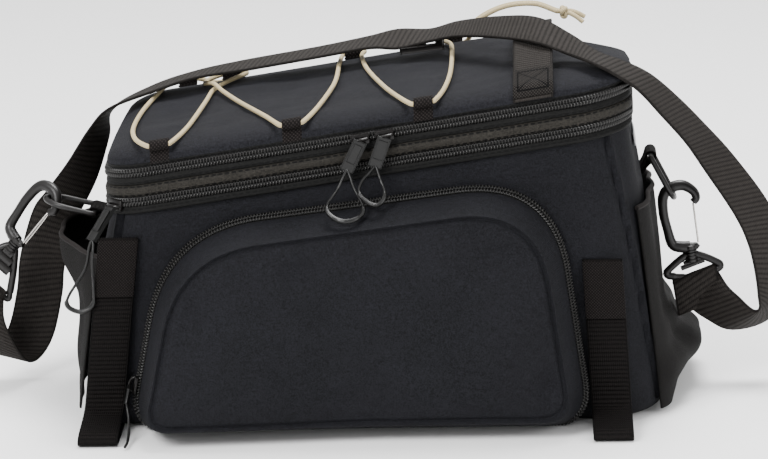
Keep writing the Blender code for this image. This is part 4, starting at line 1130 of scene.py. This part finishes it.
class RACKBAG_OT_lid(bpy.types.Operator):
    """Build the padded lid"""
    bl_idname = "rack_bag.lid"
    bl_label = "Lid"

    def execute(self, context):
        bag = Bag(context)
        around, rows = ((480, 80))
        reach = bag.rim_half_depth - 0.006
        # hollows and folds: x, y, radius along x, radius along y, rise
        dents = ((-0.050, 0.010, 0.034, 0.030, -0.0022), (-0.118, -0.020, 0.020, 0.050, -0.0018),
                 (0.010, -0.050, 0.050, 0.022, -0.0012), (0.130, 0.040, 0.030, 0.030, -0.0024),
                 (-0.130, -0.052, 0.016, 0.010, 0.0012), (0.070, 0.030, 0.030, 0.040, -0.0012))

        def place(u, v):
            inset = reach * v ** 1.7
            x, y, nx, ny = bag.outline(u, bag.rim_half_length - inset, bag.rim_half_depth - inset,
                                       inset)
            x, y = bag.bowed(x, y, bag.rim_half_length, bag.rim_half_depth, 1)
            if v == 1:
                y = 0.0
            z = bag.lid_edge(x) + bag.lid_rise(inset) * bag.lid_slump(x) - bag.sink(x, y)
            soft = ease(0.004, 0.030, inset)
            for dx, dy, rx, ry, rise in dents:
                z += rise * hump(x, dx, rx) * hump(y, dy, ry) * soft
            z += soft * (0.0019 * bag.ripple((x, y, 0), 0.050, 5.0)
                         + 0.0008 * bag.ripple((x, y, 0), 0.017, 8.0))
            lip = 0.0008 * hump(inset, 0.0, 0.0012)
            return Vector((x + nx * lip, y + ny * lip, z))

        shape = grid(place, around, rows, lambda u, v, point: (point.x, point.y), closed=True)
        # the lid's cloth is the walls' and pockets' navy made 1.3 times lighter: painted light from
        # above on the lid's top
        look = woven("lid_cloth", [c * 1.3 for c in bag.colours.navy], 0.0009, 0.00007)
        lid = add_piece("lid_top", shape, look.done(), "body_cloth", ("lid",))
        return {"FINISHED"}


class RACKBAG_OT_pockets(bpy.types.Operator):
    """Build the front and back pockets with their zips"""
    bl_idname = "rack_bag.pockets"
    bl_label = "Pockets"

    def execute(self, context):
        bag = Bag(context)
        steps = 44
        rows = 66
        around = 8 * steps
        deepest = 0.046
        middle_height = bag.rim_height * 0.43
        closing = rows // 4
        # soft dents in the pocket's face: x, z, radius along, radius up, how far out
        dents = ((-0.039, 0.109, 0.014, 0.008, -0.0036), (-0.010, 0.112, 0.022, 0.008, 0.0018),
                 (0.112, 0.030, 0.008, 0.014, -0.0040), (0.100, 0.060, 0.010, 0.030, 0.0022),
                 (-0.085, 0.040, 0.030, 0.040, 0.0022), (0.020, 0.055, 0.060, 0.030, -0.0016),
                 (-0.108, 0.086, 0.006, 0.020, -0.0030), (-0.056, 0.102, 0.007, 0.012, 0.0020),
                 (-0.030, 0.094, 0.010, 0.012, 0.0016), (0.090, 0.118, 0.020, 0.006, -0.0022))

        def depth_at(x, z):
            low = max(0.0, 1 - z / bag.rim_height)
            slouch = bag.pocket_slouch * max(0.0, -x / bag.rim_half_length) * low ** 2
            return bag.pocket_depth + bag.pocket_sag * low + slouch

        ringed = rows - closing
        insets = [deepest * (min(i, ringed) / ringed) ** 1.9 for i in range(rows + 1)]
        inward = [max(i - ringed, 0) / closing for i in range(rows + 1)]
        rings = [bag.pocket_ring(inset, steps) for inset in insets]
        edge = bag.pocket_ring(0.0, steps)
        lip = bag.pocket_ring(-0.0028, steps)
        total = sum((b - a).length for a, b in zip(edge, edge[1:]))
        for side, name in ((-1, "front"), (1, "back")):
            def shell(u, v, side=side):
                row = round(v * rows)
                x, z = rings[row][round(u * around) % around]
                inset = insets[row]
                z += (middle_height + bag.rim_slope * x - z) * inward[row]
                part = read_table(POCKET_SIDE, inset * 100)[0]
                start = bag.pocket_zip
                depth = start + (depth_at(x, z) - start) * part
                soft = ease(0.004, 0.016, inset)
                for dx, dz, rx, rz, push in dents:
                    depth += push * hump(x, dx, rx) * hump(z, dz, rz) * soft
                depth += soft * (0.0016 * bag.ripple((x, 0, z), 0.045, 11.0 + side)
                                 + 0.0006 * bag.ripple((x, 0, z), 0.016, 14.0))
                # the seam where the gusset meets the face
                depth += 0.0017 * hump(inset, 0.0086, 0.0011) - 0.0016 * hump(inset, 0.0110, 0.0011)
                return Vector((x, side * (bag.wall_y(x, max(z, 0.004)) + depth), max(z, 0.0008)))

            shape = grid(shell, around, rows, lambda u, v, point: (point.x, point.z),
                         closed=True)
            look = woven(name + "_pocket_cloth", bag.colours.navy, 0.0009, 0.00007)
            add_piece(name + "_pocket_shell", shape, look.done(), "body_cloth",
                      (name + "_pocket",))

            def tape(u, v, side=side):
                row = round(v * 4)
                x, z = (lip, lip, lip, edge, edge)[row][round(u * around) % around]
                out = (-0.0004, 0.0011, 0.0014, 0.0018, bag.pocket_zip)[row]
                return Vector((x, side * (bag.wall_y(x, max(z, 0.004)) + out),
                               max(z, 0.0008)))

            look = woven(name + "_pocket_tape", bag.colours.tape, 0.0008, 0.00004, 0.7, 0.15)
            add_piece(name + "_pocket_tape", grid(tape, around, 4, sized(total, bag.pocket_zip),
                                                  closed=True),
                      look.done(), "zip_tape", (name + "_pocket_zip",))
            self.add_coil(bag, name, side, edge, total)
        return {"FINISHED"}

    def add_coil(self, bag, name, side, edge, total):
        path = even_path([Vector((x, 0, z)) for x, z in edge], 0.0012, closed=True)
        count = len(path)

        def at(s):
            place = s % 1.0 * count
            i = int(place) % count
            return path[i].lerp(path[(i + 1) % count], place - int(place))

        def away(s):
            run = (at(s + 0.003) - at(s - 0.003)).normalized()
            return Vector((-run.z, 0, run.x))

        def point(s):
            here = at(s) + away(s) * 0.0016
            z = max(here.z, 0.0030)
            return Vector((here.x, side * (bag.wall_y(here.x, max(z, 0.004)) + 0.0042), z))

        def ways(s):
            front = Vector((0, side, 0))
            out = away(s)
            return (out + front * 1.2).normalized(), (front - out * 1.2).normalized()

        shape = coil_ring(point, ways, total, bag.coil_width * 0.85, bag.coil_pitch,
                          6)
        look = coil_look(name + "_pocket_coil", bag.colours.coil)
        add_piece(name + "_pocket_coil", shape, look.done(), "zip_tape")


class RACKBAG_OT_end_pockets(bpy.types.Operator):
    """Build the open pockets on the two ends, and the reflective strip"""
    bl_idname = "rack_bag.end_pockets"
    bl_label = "End pockets"

    def execute(self, context):
        bag = Bag(context)
        across, along = ((96, 90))
        for side, name in ((1, "right"), (-1, "left")):
            table = curve_through(END_POCKET_ROWS[name], 8)
            lean = END_POCKET_LEAN[name]

            def place(u, v, side=side, table=table, lean=lean, lift=0.0):
                t, part = table[round(v * (len(table) - 1))] if v < 1 else table[-1]
                bulge = max(math.sin(math.pi * u), 0.0) ** 0.7 * (1 + lean * (1 - 2 * u) * side)
                edge = END_POCKET_SEAM + (1 - 2 * END_POCKET_SEAM) * u
                here = bag.end_wall(side, edge, t, 0.0)
                out = 0.0022 + bag.end_reach * part * bulge + lift
                folds = 0.0011 * math.sin(u * 19 + 2.4 * bag.ripple(here, 0.05, 21.0))
                folds += 0.0007 * bag.ripple(here, 0.02, 24.0)
                return bag.end_wall(side, edge, t, out + folds * min(4 * u, 4 - 4 * u, 1.0))

            shape = grid(place, across, len(table) - 1, sized(0.24, 0.13))
            look = woven(name + "_end_cloth", bag.colours.dark, 0.0009, 0.00007)
            piece = add_piece(name + "_end_pocket", shape, look.done(), "body_cloth",
                              ("end_pocket_" + name,))
            thicken(piece, 0.0012, 0.0)
            rim = [place(i / 80, 1.0) for i in range(81)]
            bind = Look(name + "_binding", [c * 3 for c in bag.colours.web], 0.7)
            add_piece(name + "_end_binding", pipe(rim, 0.0016, 8, squash=1.0), bind.done(),
                      "webbing")

        def strip(u, v):
            return bag.end_wall(1, 0.31 + 0.38 * u, 0.885 + 0.045 * v, 0.0011)

        look = Look("reflective", bag.colours.silver, 0.35, metal=0.3)
        u, v = look.uv()
        hexes = (u * (math.tau / 0.002)).sine() * (v * (math.tau / 0.002)).sine()
        look.tint(hexes.size(), 0.8, 1.2)
        piece = add_piece("reflective", grid(strip, 40, 3, sized(0.1, 0.008)), look.done(),
                          "reflective", ("reflector_strip",))
        thicken(piece, 0.0008)
        return {"FINISHED"}


class RACKBAG_OT_rack_straps(bpy.types.Operator):
    """Build the four straps that hold the bag to a rack"""
    bl_idname = "rack_bag.rack_straps"
    bl_label = "Rack straps"

    def execute(self, context):
        bag = Bag(context)
        for row, side in (("front", -1), ("back", 1)):
            for name, (height, top, foot) in RACK_STRAPS.items():
                points = []
                for up, out in RACK_STRAP_RUN:
                    x = (foot + (top - foot) * up) * bag.rim_half_length
                    z = up * height
                    radius = bag.right_radius if x > 0 else bag.left_radius
                    t = max(z - bag.base_edge, 0.0) / (bag.rim(x) - bag.base_edge)
                    near = min(abs(x), bag.halves(t)[0] - radius)
                    y = bag.wall_y(math.copysign(near, x), max(z, bag.base_edge))
                    points.append((x, side * (y + out), z))
                path = even_path(curve_through(points, 12), 0.0012)
                wide = Vector((-side, 0, 0))
                rows = [(point, wide) for point in path]
                look = ribbed("rack_%s_%s" % (row, name), bag.colours.web, 0.0027, 0.0005, 0.0115)
                shape = ribbon(rows, bag.rack_strap_width, bag.webbing)
                label = "rack_strap_%s_%s" % (row, name)
                strap = add_piece(label + "_webbing", shape, look.done(), "webbing", (label,))
                run = sum((b - a).length for a, b in zip(path, path[1:]))
                # the doubled end that is sewn down at the top
                patch = [(point + Vector((0, side * (bag.webbing * 0.95), 0)), wide)
                         for point in path[1:32]]
                cover = checked("rack_%s_%s_end" % (row, name), bag.colours.web, 0.0019, 0.0003)
                add_piece(label + "_end", ribbon(patch, bag.rack_strap_width, bag.webbing),
                          cover.done(), "webbing")
        return {"FINISHED"}


class RACKBAG_OT_handle(bpy.types.Operator):
    """Build the carry handle"""
    bl_idname = "rack_bag.handle"
    bl_label = "Carry handle"

    def execute(self, context):
        bag = Bag(context)
        x = bag.handle_place * bag.rim_half_length
        edge = bag.rim_half_depth + bag.bow * (1 - (x / bag.rim_half_length) ** 2)
        lift = bag.webbing / 2 + 0.0007
        points = []
        arch_foot = bag.rim_half_depth - 0.16 * bag.lid_shoulder
        for i in range(61):
            y = arch_foot * (2 * i / 60 - 1)
            arch = bag.handle_lift * (1 - (y / arch_foot) ** 2) ** 1.3
            points.append((x, y, bag.lid_surface(x, y) + lift + 0.0008 + arch))
        foot = ((-0.004, 0.10), (-0.002, 0.30), (0.030, 0.54), (0.080, 0.72))
        front = []
        for inset, rise in foot:
            out = lift * (1.0 if inset < 0 else 0.7)
            up = 0.0 if inset < 0 else lift * 0.8
            front.append((x, edge - inset * bag.lid_shoulder + out,
                          bag.lid_edge(x) + rise * bag.lid_crown + up))
        before = [(a, -b, c) for a, b, c in front]
        path = even_path(curve_through(before + points + front[::-1], 3), 0.0012)
        rows = [(point, Vector((1, 0, bag.rim_slope))) for point in path]
        look = ribbed("carry_handle", bag.colours.strap, 0.0024, 0.0005, 0.0112)
        shape = ribbon(rows, bag.handle_width, bag.webbing)
        add_piece("handle_webbing", shape, look.done(), "webbing", ("carry_handle",))
        # the doubled front end with its crossed box of stitches
        patch = [(point + Vector((0, -0.0006, bag.webbing * 0.9)), way)
                 for point, way in rows[1:24]]
        cover = checked("handle_end", [c * 0.4 for c in bag.colours.strap], 0.0019, 0.0003)
        self.add_cross(cover, 0.001, bag)
        add_piece("handle_end", ribbon(patch, bag.handle_width, bag.webbing), cover.done(),
                  "webbing")
        return {"FINISHED"}

    def add_cross(self, look, start, bag):
        """A stitched square with a cross in it."""
        across, along = look.uv()
        half = bag.handle_width * 0.38
        middle = start + half + 0.003
        x = across / half
        y = (along - middle) / half
        inside = x.size().below(1.04) * y.size().below(1.04)
        lines = (x.size() - 1.0).size().below(0.07) + (y.size() - 1.0).size().below(0.07)
        lines = lines + (x.size() - y.size()).size().below(0.07)
        seam = 1 - (lines * inside).below(0.5)
        look.raise_by(seam * -0.0004)
        look.mark(seam, (0.0008, 0.0007, 0.0007))


class RACKBAG_OT_cord(bpy.types.Operator):
    """Build the elastic cord, its knot and its tabs"""
    bl_idname = "rack_bag.cord"
    bl_label = "Elastic cord"

    def execute(self, context):
        bag = Bag(context)
        base = bag.colours.cream
        look = self.braid("elastic_cord", base)
        path = even_path(curve_through(bag.cord_points(), 6), 0.0022)
        line = add_piece("elastic_line", pipe(path, bag.cord_radius, 10), look, "elastic",
                         ("elastic_cord",))
        run = sum((b - a).length for a, b in zip(path, path[1:]))

        ends = bag.cord_points()
        middle = (ends[0] + ends[-1]) / 2 + Vector((bag.knot_radius + 0.0003, 0, -0.0006))
        loop = []
        for i in range(72):
            t = math.tau * i / 72
            loop.append(middle + Vector((math.sin(3 * t) * 1.1,
                                         math.sin(t) + 2 * math.sin(2 * t),
                                         math.cos(t) - 2 * math.cos(2 * t))) * 0.00118)
        shapes = [pipe(loop, bag.cord_radius * 0.95, 10, closed=True)]
        for tail in (((0.0040, -0.0020, -0.0008), (0.0085, -0.0042, -0.0030),
                      (0.0125, -0.0060, -0.0060)),
                     ((0.0040, 0.0004, 0.0004), (0.0090, 0.0012, -0.0012),
                      (0.0138, 0.0015, -0.0040))):
            points = [middle] + [middle + Vector(step) for step in tail]
            shapes.append(pipe(even_path(curve_through(points, 6), 0.0010), bag.cord_radius, 10))
        # the two strands run into the knot
        for end in (ends[0], ends[-1]):
            shapes.append(pipe([end, end.lerp(middle, 0.5), middle], bag.cord_radius, 10))
        add_piece("knot", joined(shapes), self.braid("knot", base), "elastic", ("cord_knot",))

        for row, places in CORD_TABS.items():
            side = -1 if row == "front" else 1
            for i, part in enumerate(places):
                self.add_tab(bag, row, side, i, part)
        return {"FINISHED"}

    def braid(self, name, base):
        look = Look(name, base, 0.7, gloss=0.3)
        around, along = look.uv()
        one = ((along + around) * (math.tau / 0.0016)).sine()
        two = ((along - around) * (math.tau / 0.0016)).sine()
        look.raise_by(one * two * 0.00008)
        look.tint(one * two * 0.5 + look.cloud(60.0) * 0.6, 0.78, 1.15)
        return look.done()

    def add_tab(self, bag, row, side, index, part):
        bar = bag.cord_anchor(row, index)
        foot = bag.rim_half_depth + bag.bow * (1 - part ** 2) + 0.0012
        base = Vector((bar.x, side * foot, bag.lid_edge(bar.x) - 0.0008))
        turn = bag.cord_radius + 0.0015
        reach = (bar - base).normalized()
        wide = Vector((1, 0, bag.rim_slope)).normalized()
        up = wide.cross(reach) * side
        points = [base - up * 0.0009 * -1]
        points = [base + up * 0.0005, base.lerp(bar, 0.5) + up * 0.0012]
        for step in range(13):
            angle = math.radians(80 - 260 * step / 12)
            points.append(bar + (up * math.sin(angle) + reach * math.cos(angle)) * turn)
        inward = Vector((0, -side, 0))
        tail = bar + inward * 0.009
        points.append(Vector((tail.x, tail.y, bag.lid_surface(tail.x, tail.y) + 0.0009)))
        path = even_path(curve_through([tuple(point) for point in points], 3), 0.0008)
        look = checked("cord_tab", [c * 1.4 for c in bag.colours.web], 0.0023, 0.0004)
        name = "cord_tab_%s_%d" % (row, index + 1)
        shape = ribbon([(point, wide) for point in path], bag.cord_tab_width, 0.0011)
        add_piece(name + "_webbing", shape, look.done(), "tab_webbing", (name,))


class RACKBAG_OT_rings(bpy.types.Operator):
    """Build the D-rings and the tabs that hold them"""
    bl_idname = "rack_bag.rings"
    bl_label = "D-rings"

    def execute(self, context):
        bag = Bag(context)
        for side, pose in END_POSES.items():
            name = pose["name"]
            run = Vector((side * pose["ring"][0], 0, pose["ring"][1])).normalized()
            bar = bag.hook_point(side, *pose["caught"]) - run * bag.ring_length
            wide = Vector((0, 1, 0)) * bag.ring_half_width
            points = [bar - wide * 0.86, bar - wide * 0.4, bar + wide * 0.4, bar + wide * 0.86]
            for i in range(21):
                angle = math.radians(180 * i / 20)
                reach = (math.sin(angle) + min(1.0, math.sin(angle) * 3)) / 2
                points.append(bar + wide * math.cos(angle) + run * bag.ring_length * reach)
            path = even_path(curve_through([*points, points[0]], 3)[:-1], 0.0010, closed=True)
            look = moulded("d_ring", bag.colours.plastic)
            add_piece("ring_%s" % name, pipe(path, bag.ring_radius, 14, closed=True),
                      look.done(), "plastic", ("d_ring_" + name,))

            root = bag.anchor(side)
            reach_way = (bar - root).normalized()
            up = Vector((0, -1, 0)).cross(reach_way).normalized()
            turn = bag.ring_radius + 0.0012
            points = [root + up * 0.0012 - reach_way * 0.0005, root.lerp(bar, 0.5) + up * 0.0014]
            for step in range(13):
                angle = math.radians(100 - 200 * step / 12)
                points.append(bar + (up * math.sin(angle) + reach_way * math.cos(angle)) * turn)
            points += [root.lerp(bar, 0.5) - up * 0.0014, root - up * 0.0012 - reach_way * 0.0005]
            path = even_path(curve_through([tuple(point) for point in points], 3), 0.0008)
            look = ribbed("ring_tab", bag.colours.web, 0.0024, 0.0004, 0.0090)
            shape = ribbon([(point, Vector((0, -1, 0))) for point in path], bag.ring_tab_width,
                           bag.webbing)
            add_piece("ring_tab_%s_webbing" % name, shape, look.done(), "webbing",
                      ("ring_tab_" + name,))
        return {"FINISHED"}


class RACKBAG_OT_hooks(bpy.types.Operator):
    """Build the snap hooks, their wire gates and the strap's eyes"""
    bl_idname = "rack_bag.hooks"
    bl_label = "Snap hooks"

    def execute(self, context):
        bag = Bag(context)
        for side, pose in END_POSES.items():
            name = pose["name"]
            along, across = bag.hook_frame(side)[1:]
            flat = along.cross(across)

            def at(s, r, side=side):
                return bag.hook_point(side, s, r)

            rows = curve_through(HOOK_BODY, 6)
            body = pipe([at(s, r) for s, r, thick in rows],
                        [bag.hook_radius * thick * 1.15 for s, r, thick in rows], 14)
            # collar: place along the hook, radius as a share of the stud's
            collar = ((0.086, 0.80), (0.090, 1.00), (0.112, 1.00), (0.116, 0.84), (0.126, 0.84),
                      (0.130, 1.00), (0.176, 1.00), (0.188, 0.70))
            ring = pipe([at(s, 0.0) for s, r in collar], [bag.stud_radius * r for s, r in collar],
                        20)
            knuckle = pipe([at(0.150, -0.10), at(0.150, 0.0), at(0.154, 0.090), at(0.172, 0.115)],
                           [bag.hook_radius * r for r in (1.3, 1.3, 1.05, 0.7)], 12)
            look = moulded("snap_hook", bag.colours.plastic)
            add_piece("snap_hook_%s" % name, joined([body, ring, knuckle]), look.done(),
                      "plastic", ("hook_" + name,))

            foot = at(*GATE_FOOT)
            tip = foot + along * bag.gate_length
            apart = flat * 0.0012
            loop = [foot + apart, foot.lerp(tip, 0.35) + apart * 1.1, foot.lerp(tip, 0.7) + apart,
                    tip + apart * 0.5 - along * 0.0006, tip - along * 0.0002,
                    tip - apart * 0.5 - along * 0.0006, foot.lerp(tip, 0.7) - apart,
                    foot.lerp(tip, 0.35) - apart * 1.1, foot - apart]
            wire = Look("wire", bag.colours.wire, 0.25, metal=1.0)
            path = even_path(curve_through([tuple(point) for point in loop], 6), 0.0007)
            add_piece("gate_wire_%s" % name, pipe(path, 0.00062, 10), wire.done(), "wire",
                      ("hook_gate_" + name,), body="gate_" + name)
            self.add_eye(bag, side, name, pose, at)
        return {"FINISHED"}

    def add_eye(self, bag, side, name, pose, at):
        """The swivel's eye: a frame with a bar for the strap, and the post it turns on."""
        slot = bag.from_tab(side, *pose["slot"])
        top = at(0.03, 0)
        down = (slot - top).normalized()
        wide = pose["wide"].normalized() * bag.eye_half_width
        corners = [top + wide * 0.17, slot.lerp(top, 0.55) + wide * 0.55, slot + wide * 0.93,
                   slot + wide * 1.0 + down * 0.0020, slot + wide * 0.90 + down * 0.0036,
                   slot + wide * 0.45 + down * 0.0036, slot + down * 0.0036]
        other = [point - 2 * (point - top - down * (point - top).dot(down)) for point in corners]
        outline = corners + other[-2::-1]
        path = even_path(curve_through([*[tuple(p) for p in outline], tuple(outline[0])], 5)[:-1],
                         0.0010, closed=True)
        thick = [bag.eye_radius * (1.25 if (point - slot).dot(down) < 0.001 else 1.0)
                 for point in path]
        frame_shape = pipe(path, thick, 12, closed=True)
        # a web of plastic fills the frame's upper corner round the post
        depth = (slot - top).dot(down)
        web = []
        for part in (0.12, 0.32, 0.52):
            spread = wide * (0.12 + 0.62 * part)
            level = top + down * depth * part
            web.append(pipe([level - spread, level, level + spread], depth * 0.15, 10))
        post = ((-0.055, 0.70), (-0.045, 1.00), (-0.012, 1.00), (-0.008, 0.84), (0.004, 0.84),
                (0.008, 1.00), (0.036, 1.00), (0.040, 0.84), (0.052, 0.84), (0.056, 1.00),
                (0.076, 1.00), (0.080, 0.80))
        barrel = pipe([at(s, 0) for s, r in post], [bag.stud_radius * r for s, r in post], 18)
        look = moulded("strap_eye", bag.colours.plastic)
        add_piece("eye_%s" % name, joined([frame_shape, *web, barrel]), look.done(), "plastic",
                  ("strap_eye_" + name,))


class RACKBAG_OT_shoulder_strap(bpy.types.Operator):
    """Build the shoulder strap"""
    bl_idname = "rack_bag.shoulder_strap"
    bl_label = "Shoulder strap"

    def wrap(self, bag, side, way):
        """Rows of the strap where it is sewn round an eye's bar."""
        pose = END_POSES[side]
        slot = bag.from_tab(side, *pose["slot"])
        down = (slot - bag.hook_point(side, 0.03, 0)).normalized()
        wide = Vector(way).normalized()
        out = wide.cross(down).normalized()
        bar = slot + down * 0.0036
        turn = bag.eye_radius + 0.0013
        rows = []
        for drop, part in ((0.020, 0.55), (0.012, 0.72), (0.006, 0.95)):
            rows.append(bar + down * drop + out * turn * part)
        for step in range(7):
            angle = math.radians(180 * step / 6)
            rows.append(bar + (out * math.cos(angle) - down * math.sin(angle)) * turn)
        return [(*point, *wide) for point in rows]

    def execute(self, context):
        bag = Bag(context)
        rows = bag.strap_rows()
        start = self.wrap(bag, 1, rows[0][3:])
        finish = self.wrap(bag, -1, rows[-1][3:])[::-1]
        dense = curve_through([*start, *rows[1:-1], *finish], 10)
        points = [Vector(row[:3]) for row in dense]
        ways = [Vector(row[3:]) for row in dense]
        step = 0.0016
        rows, walked = [(points[0], ways[0])], 0.0
        for a, b, way in zip(points, points[1:], ways[1:]):
            walked += (b - a).length
            if walked >= step:
                rows.append((b, way))
                walked = 0.0
        run = sum((b[0] - a[0]).length for a, b in zip(rows, rows[1:]))
        look = ribbed("shoulder_strap", bag.colours.strap, 0.0036, 0.0004, 0.0138, slant=0.25)
        shape = ribbon(rows, bag.shoulder_width, 0.0018)
        strap = add_piece("strap_webbing", shape, look.done(), "webbing", ("shoulder_strap",))
        self.add_adjuster(bag, rows)
        return {"FINISHED"}

    def add_adjuster(self, bag, rows):
        """The dark slider that the strap runs through on the lid."""
        spots = [i for i, (point, way) in enumerate(rows)
                 if abs(point.x - 0.030) < 0.001 and point.z > bag.rim_height]
        if not spots:
            raise RuntimeError("the shoulder strap doesn't cross the lid where its slider sits")
        place, way = rows[spots[0]]
        run = (rows[spots[0] + 1][0] - place).normalized()
        up = run.cross(way.normalized()).normalized()
        if up.z > 0:
            up = -up
        look = moulded("adjuster", bag.colours.plastic)
        shapes = []
        for shift in (-0.012, 0.0, 0.012):
            middle = place + run * shift + up * 0.0022
            shapes.append(block(middle, run, way.normalized(), up,
                                (0.0040, bag.shoulder_width + 0.002, 0.0022), 0.0008))
        for side in (-1, 1):
            middle = place + way.normalized() * side * (bag.shoulder_width / 2 + 0.0004)
            middle += up * 0.0030
            shapes.append(block(middle, run, way.normalized(), up, (0.028, 0.0028, 0.0036),
                                0.0009))
        add_piece("adjuster", joined(shapes), look.done(), "plastic")


class RACKBAG_OT_zip_pulls(bpy.types.Operator):
    """Build the zips' sliders and pulls"""
    bl_idname = "rack_bag.zip_pulls"
    bl_label = "Zip pulls"

    def add_slider(self, bag, name, node, middle, out, along):
        out = out.normalized()
        along = (along - out * along.dot(out)).normalized()
        wide = out.cross(along)
        high = bag.slider_height
        body = block(middle, along, wide, out, (bag.slider_length, bag.slider_width, high), 0.0008)
        loop = []
        for i in range(13):
            angle = math.radians(180 * i / 12)
            loop.append(middle + along * math.cos(angle) * bag.slider_length * 0.44
                        + out * (high * 0.4 + math.sin(angle) * high * 1.1))
        bail = pipe(loop, 0.0010, 8)
        look = moulded(name, bag.colours.plastic, 0.3)
        look.shader.inputs["Metallic"].default_value = 0.4
        add_piece(name, joined([body, bail]), look.done(), "slider_metal", (node,))

    def add_pull(self, bag, name, node, start, end, wide, loop, out, closed=True):
        run = end - start
        thick = run.cross(wide).normalized()
        tab = block(start + run * 0.5, run.normalized(), wide, thick,
                    (run.length, bag.pull_tab_width * 0.94, 0.0017), 0.0005)
        raised = block(start + run * 0.42, run.normalized(), wide, thick,
                       (run.length * 0.6, bag.pull_tab_width * 0.6, 0.0023), 0.0004)
        inside = start + run * 0.93
        points = [inside]
        for side, drop, reach in loop:
            points.append(inside + (Vector((side, 0, drop)) + out * reach) * bag.pull_reach)
        if closed:
            path = even_path(curve_through([*[tuple(p) for p in points], tuple(inside)], 6)[:-1],
                             0.0010, closed=True)
        else:
            path = even_path(curve_through([tuple(p) for p in points], 6), 0.0010)
        radius = bag.pull_cord_radius * 0.8
        low = min(point.z for point in path)
        # a tube is slipped over the lowest part of the loop
        radii = [radius * (1.0 + 0.75 * (1 - ease(low + 0.006, low + 0.0075, point.z)))
                 if closed else radius for point in path]
        cord = pipe(path, radii, 9, closed=closed)
        look = Look(name, bag.colours.tape, 0.4, gloss=0.3)
        grain = look.cloud(700.0, 2.0)
        look.raise_by(grain * 0.0001)
        look.tint(grain, 0.4, 1.1)
        add_piece(name, joined([tab, raised, cord]), look.done(), "pull_cloth", (node,))

    def execute(self, context):
        bag = Bag(context)
        front = Vector((0, -1, 0))
        slope = Vector((1, 0, bag.rim_slope))
        for number, at, aside, loop in ((1, -0.10, -0.30, LOOP_ONE), (2, 0.40, -0.22, LOOP_TWO)):
            x = at * bag.pull_reach
            z = bag.rim(x) + bag.band_top - 0.0055
            y = bag.rim_half_depth + bag.bow + 0.0011 + bag.slider_height * 0.5
            middle = Vector((x, -y, z))
            self.add_slider(bag, "zip_slider_%d" % number, "lid_slider_%d" % number, middle,
                            front, slope)
            start = middle + front * bag.slider_height * 1.4 + Vector((0, 0, -0.0010))
            end = start + Vector((aside, -0.02, -0.60)) * bag.pull_reach
            wide = (end - start).cross(front).normalized()
            self.add_pull(bag, "zip_pull_%d" % number, "lid_pull_%d" % number, start, end, wide,
                          loop, front)

        out = Vector((-1, -1, 0)).normalized()
        reach = bag.left_radius + 0.0017 + bag.slider_height / 2
        middle = Vector((bag.left_radius - bag.rim_half_length,
                         bag.left_radius - bag.rim_half_depth, 0)) + out * reach
        middle.z = bag.rim(middle.x) + 0.00575
        self.add_slider(bag, "zip_slider_end", "expander_slider", middle, out, Vector((1, -1, 0)))
        start = middle + out * bag.slider_height * 1.4 + Vector((0, 0, -0.0010))
        end = start + Vector((-0.42, -0.16, -0.66)) * bag.pull_reach
        self.add_pull(bag, "zip_pull_end", "expander_pull", start, end,
                      Vector((1, -1, 0)).normalized(), LOOP_END, front)

        ring = bag.pocket_ring(0.0, 5)
        for side, row in ((-1, "front"), (1, "back")):
            places = []
            for x, z in (ring[5], ring[7]):
                places.append(Vector((x, side * (bag.wall_y(x, z) + bag.pocket_zip / 2), z)))
            along = places[1] - places[0]
            along = Vector((along.x, 0, along.z)).normalized()
            away = Vector((-along.z, 0, along.x))
            middle = places[0] + along * bag.slider_length * 0.3
            middle += away * (bag.slider_height / 2 + 0.0018)
            self.add_slider(bag, row + "_slider", row + "_pocket_slider", middle, away, along)
            start = middle + away * bag.slider_height * 1.4
            start += Vector((0, side * bag.slider_width * 0.9, 0))
            end = start + (Vector((0, side * 0.10, 0)) - along * 0.30) * bag.pull_reach
            self.add_pull(bag, row + "_pull", row + "_pocket_pull", start, end,
                          Vector((0, 1, 0)), TAIL_POCKET, Vector((0, side, 0)), closed=False)
        return {"FINISHED"}


class RACKBAG_PT_panel(bpy.types.Panel):
    """Sizes and steps of the rack bag"""
    bl_idname = "RACKBAG_PT_panel"
    bl_label = "Rack bag"
    bl_space_type = "VIEW_3D"
    bl_region_type = "UI"
    bl_category = "Rack bag"

    def draw(self, context):
        settings = context.scene.rack_bag
        for group in (settings.body, settings.pockets, settings.straps, settings.hooks,
                      settings.colours, settings.studio):
            box = self.layout.box()
            for name in type(group).__annotations__:
                box.prop(group, name)
        for operator in OPERATORS:
            self.layout.operator(operator.bl_idname)


GROUPS = (BodySizes, PocketSizes, StrapSizes, HookSizes, BagColours, StudioSettings,
          RackBagSettings)
OPERATORS = (RACKBAG_OT_stage, RACKBAG_OT_body, RACKBAG_OT_bands, RACKBAG_OT_lid,
             RACKBAG_OT_pockets, RACKBAG_OT_end_pockets, RACKBAG_OT_rack_straps,
             RACKBAG_OT_handle, RACKBAG_OT_cord, RACKBAG_OT_rings, RACKBAG_OT_hooks,
             RACKBAG_OT_shoulder_strap, RACKBAG_OT_zip_pulls)


def register():
    for item in (*GROUPS, *OPERATORS, RACKBAG_PT_panel):
        bpy.utils.register_class(item)
    bpy.types.Scene.rack_bag = PointerProperty(type=RackBagSettings)


def unregister():
    del bpy.types.Scene.rack_bag
    for item in reversed((*GROUPS, *OPERATORS, RACKBAG_PT_panel)):
        bpy.utils.unregister_class(item)


def main():
    """Build the whole scene."""
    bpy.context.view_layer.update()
    register()
    for operator in OPERATORS:
        group, name = operator.bl_idname.split(".")
        getattr(getattr(bpy.ops, group), name)()


if __name__ == "__main__":
    main()
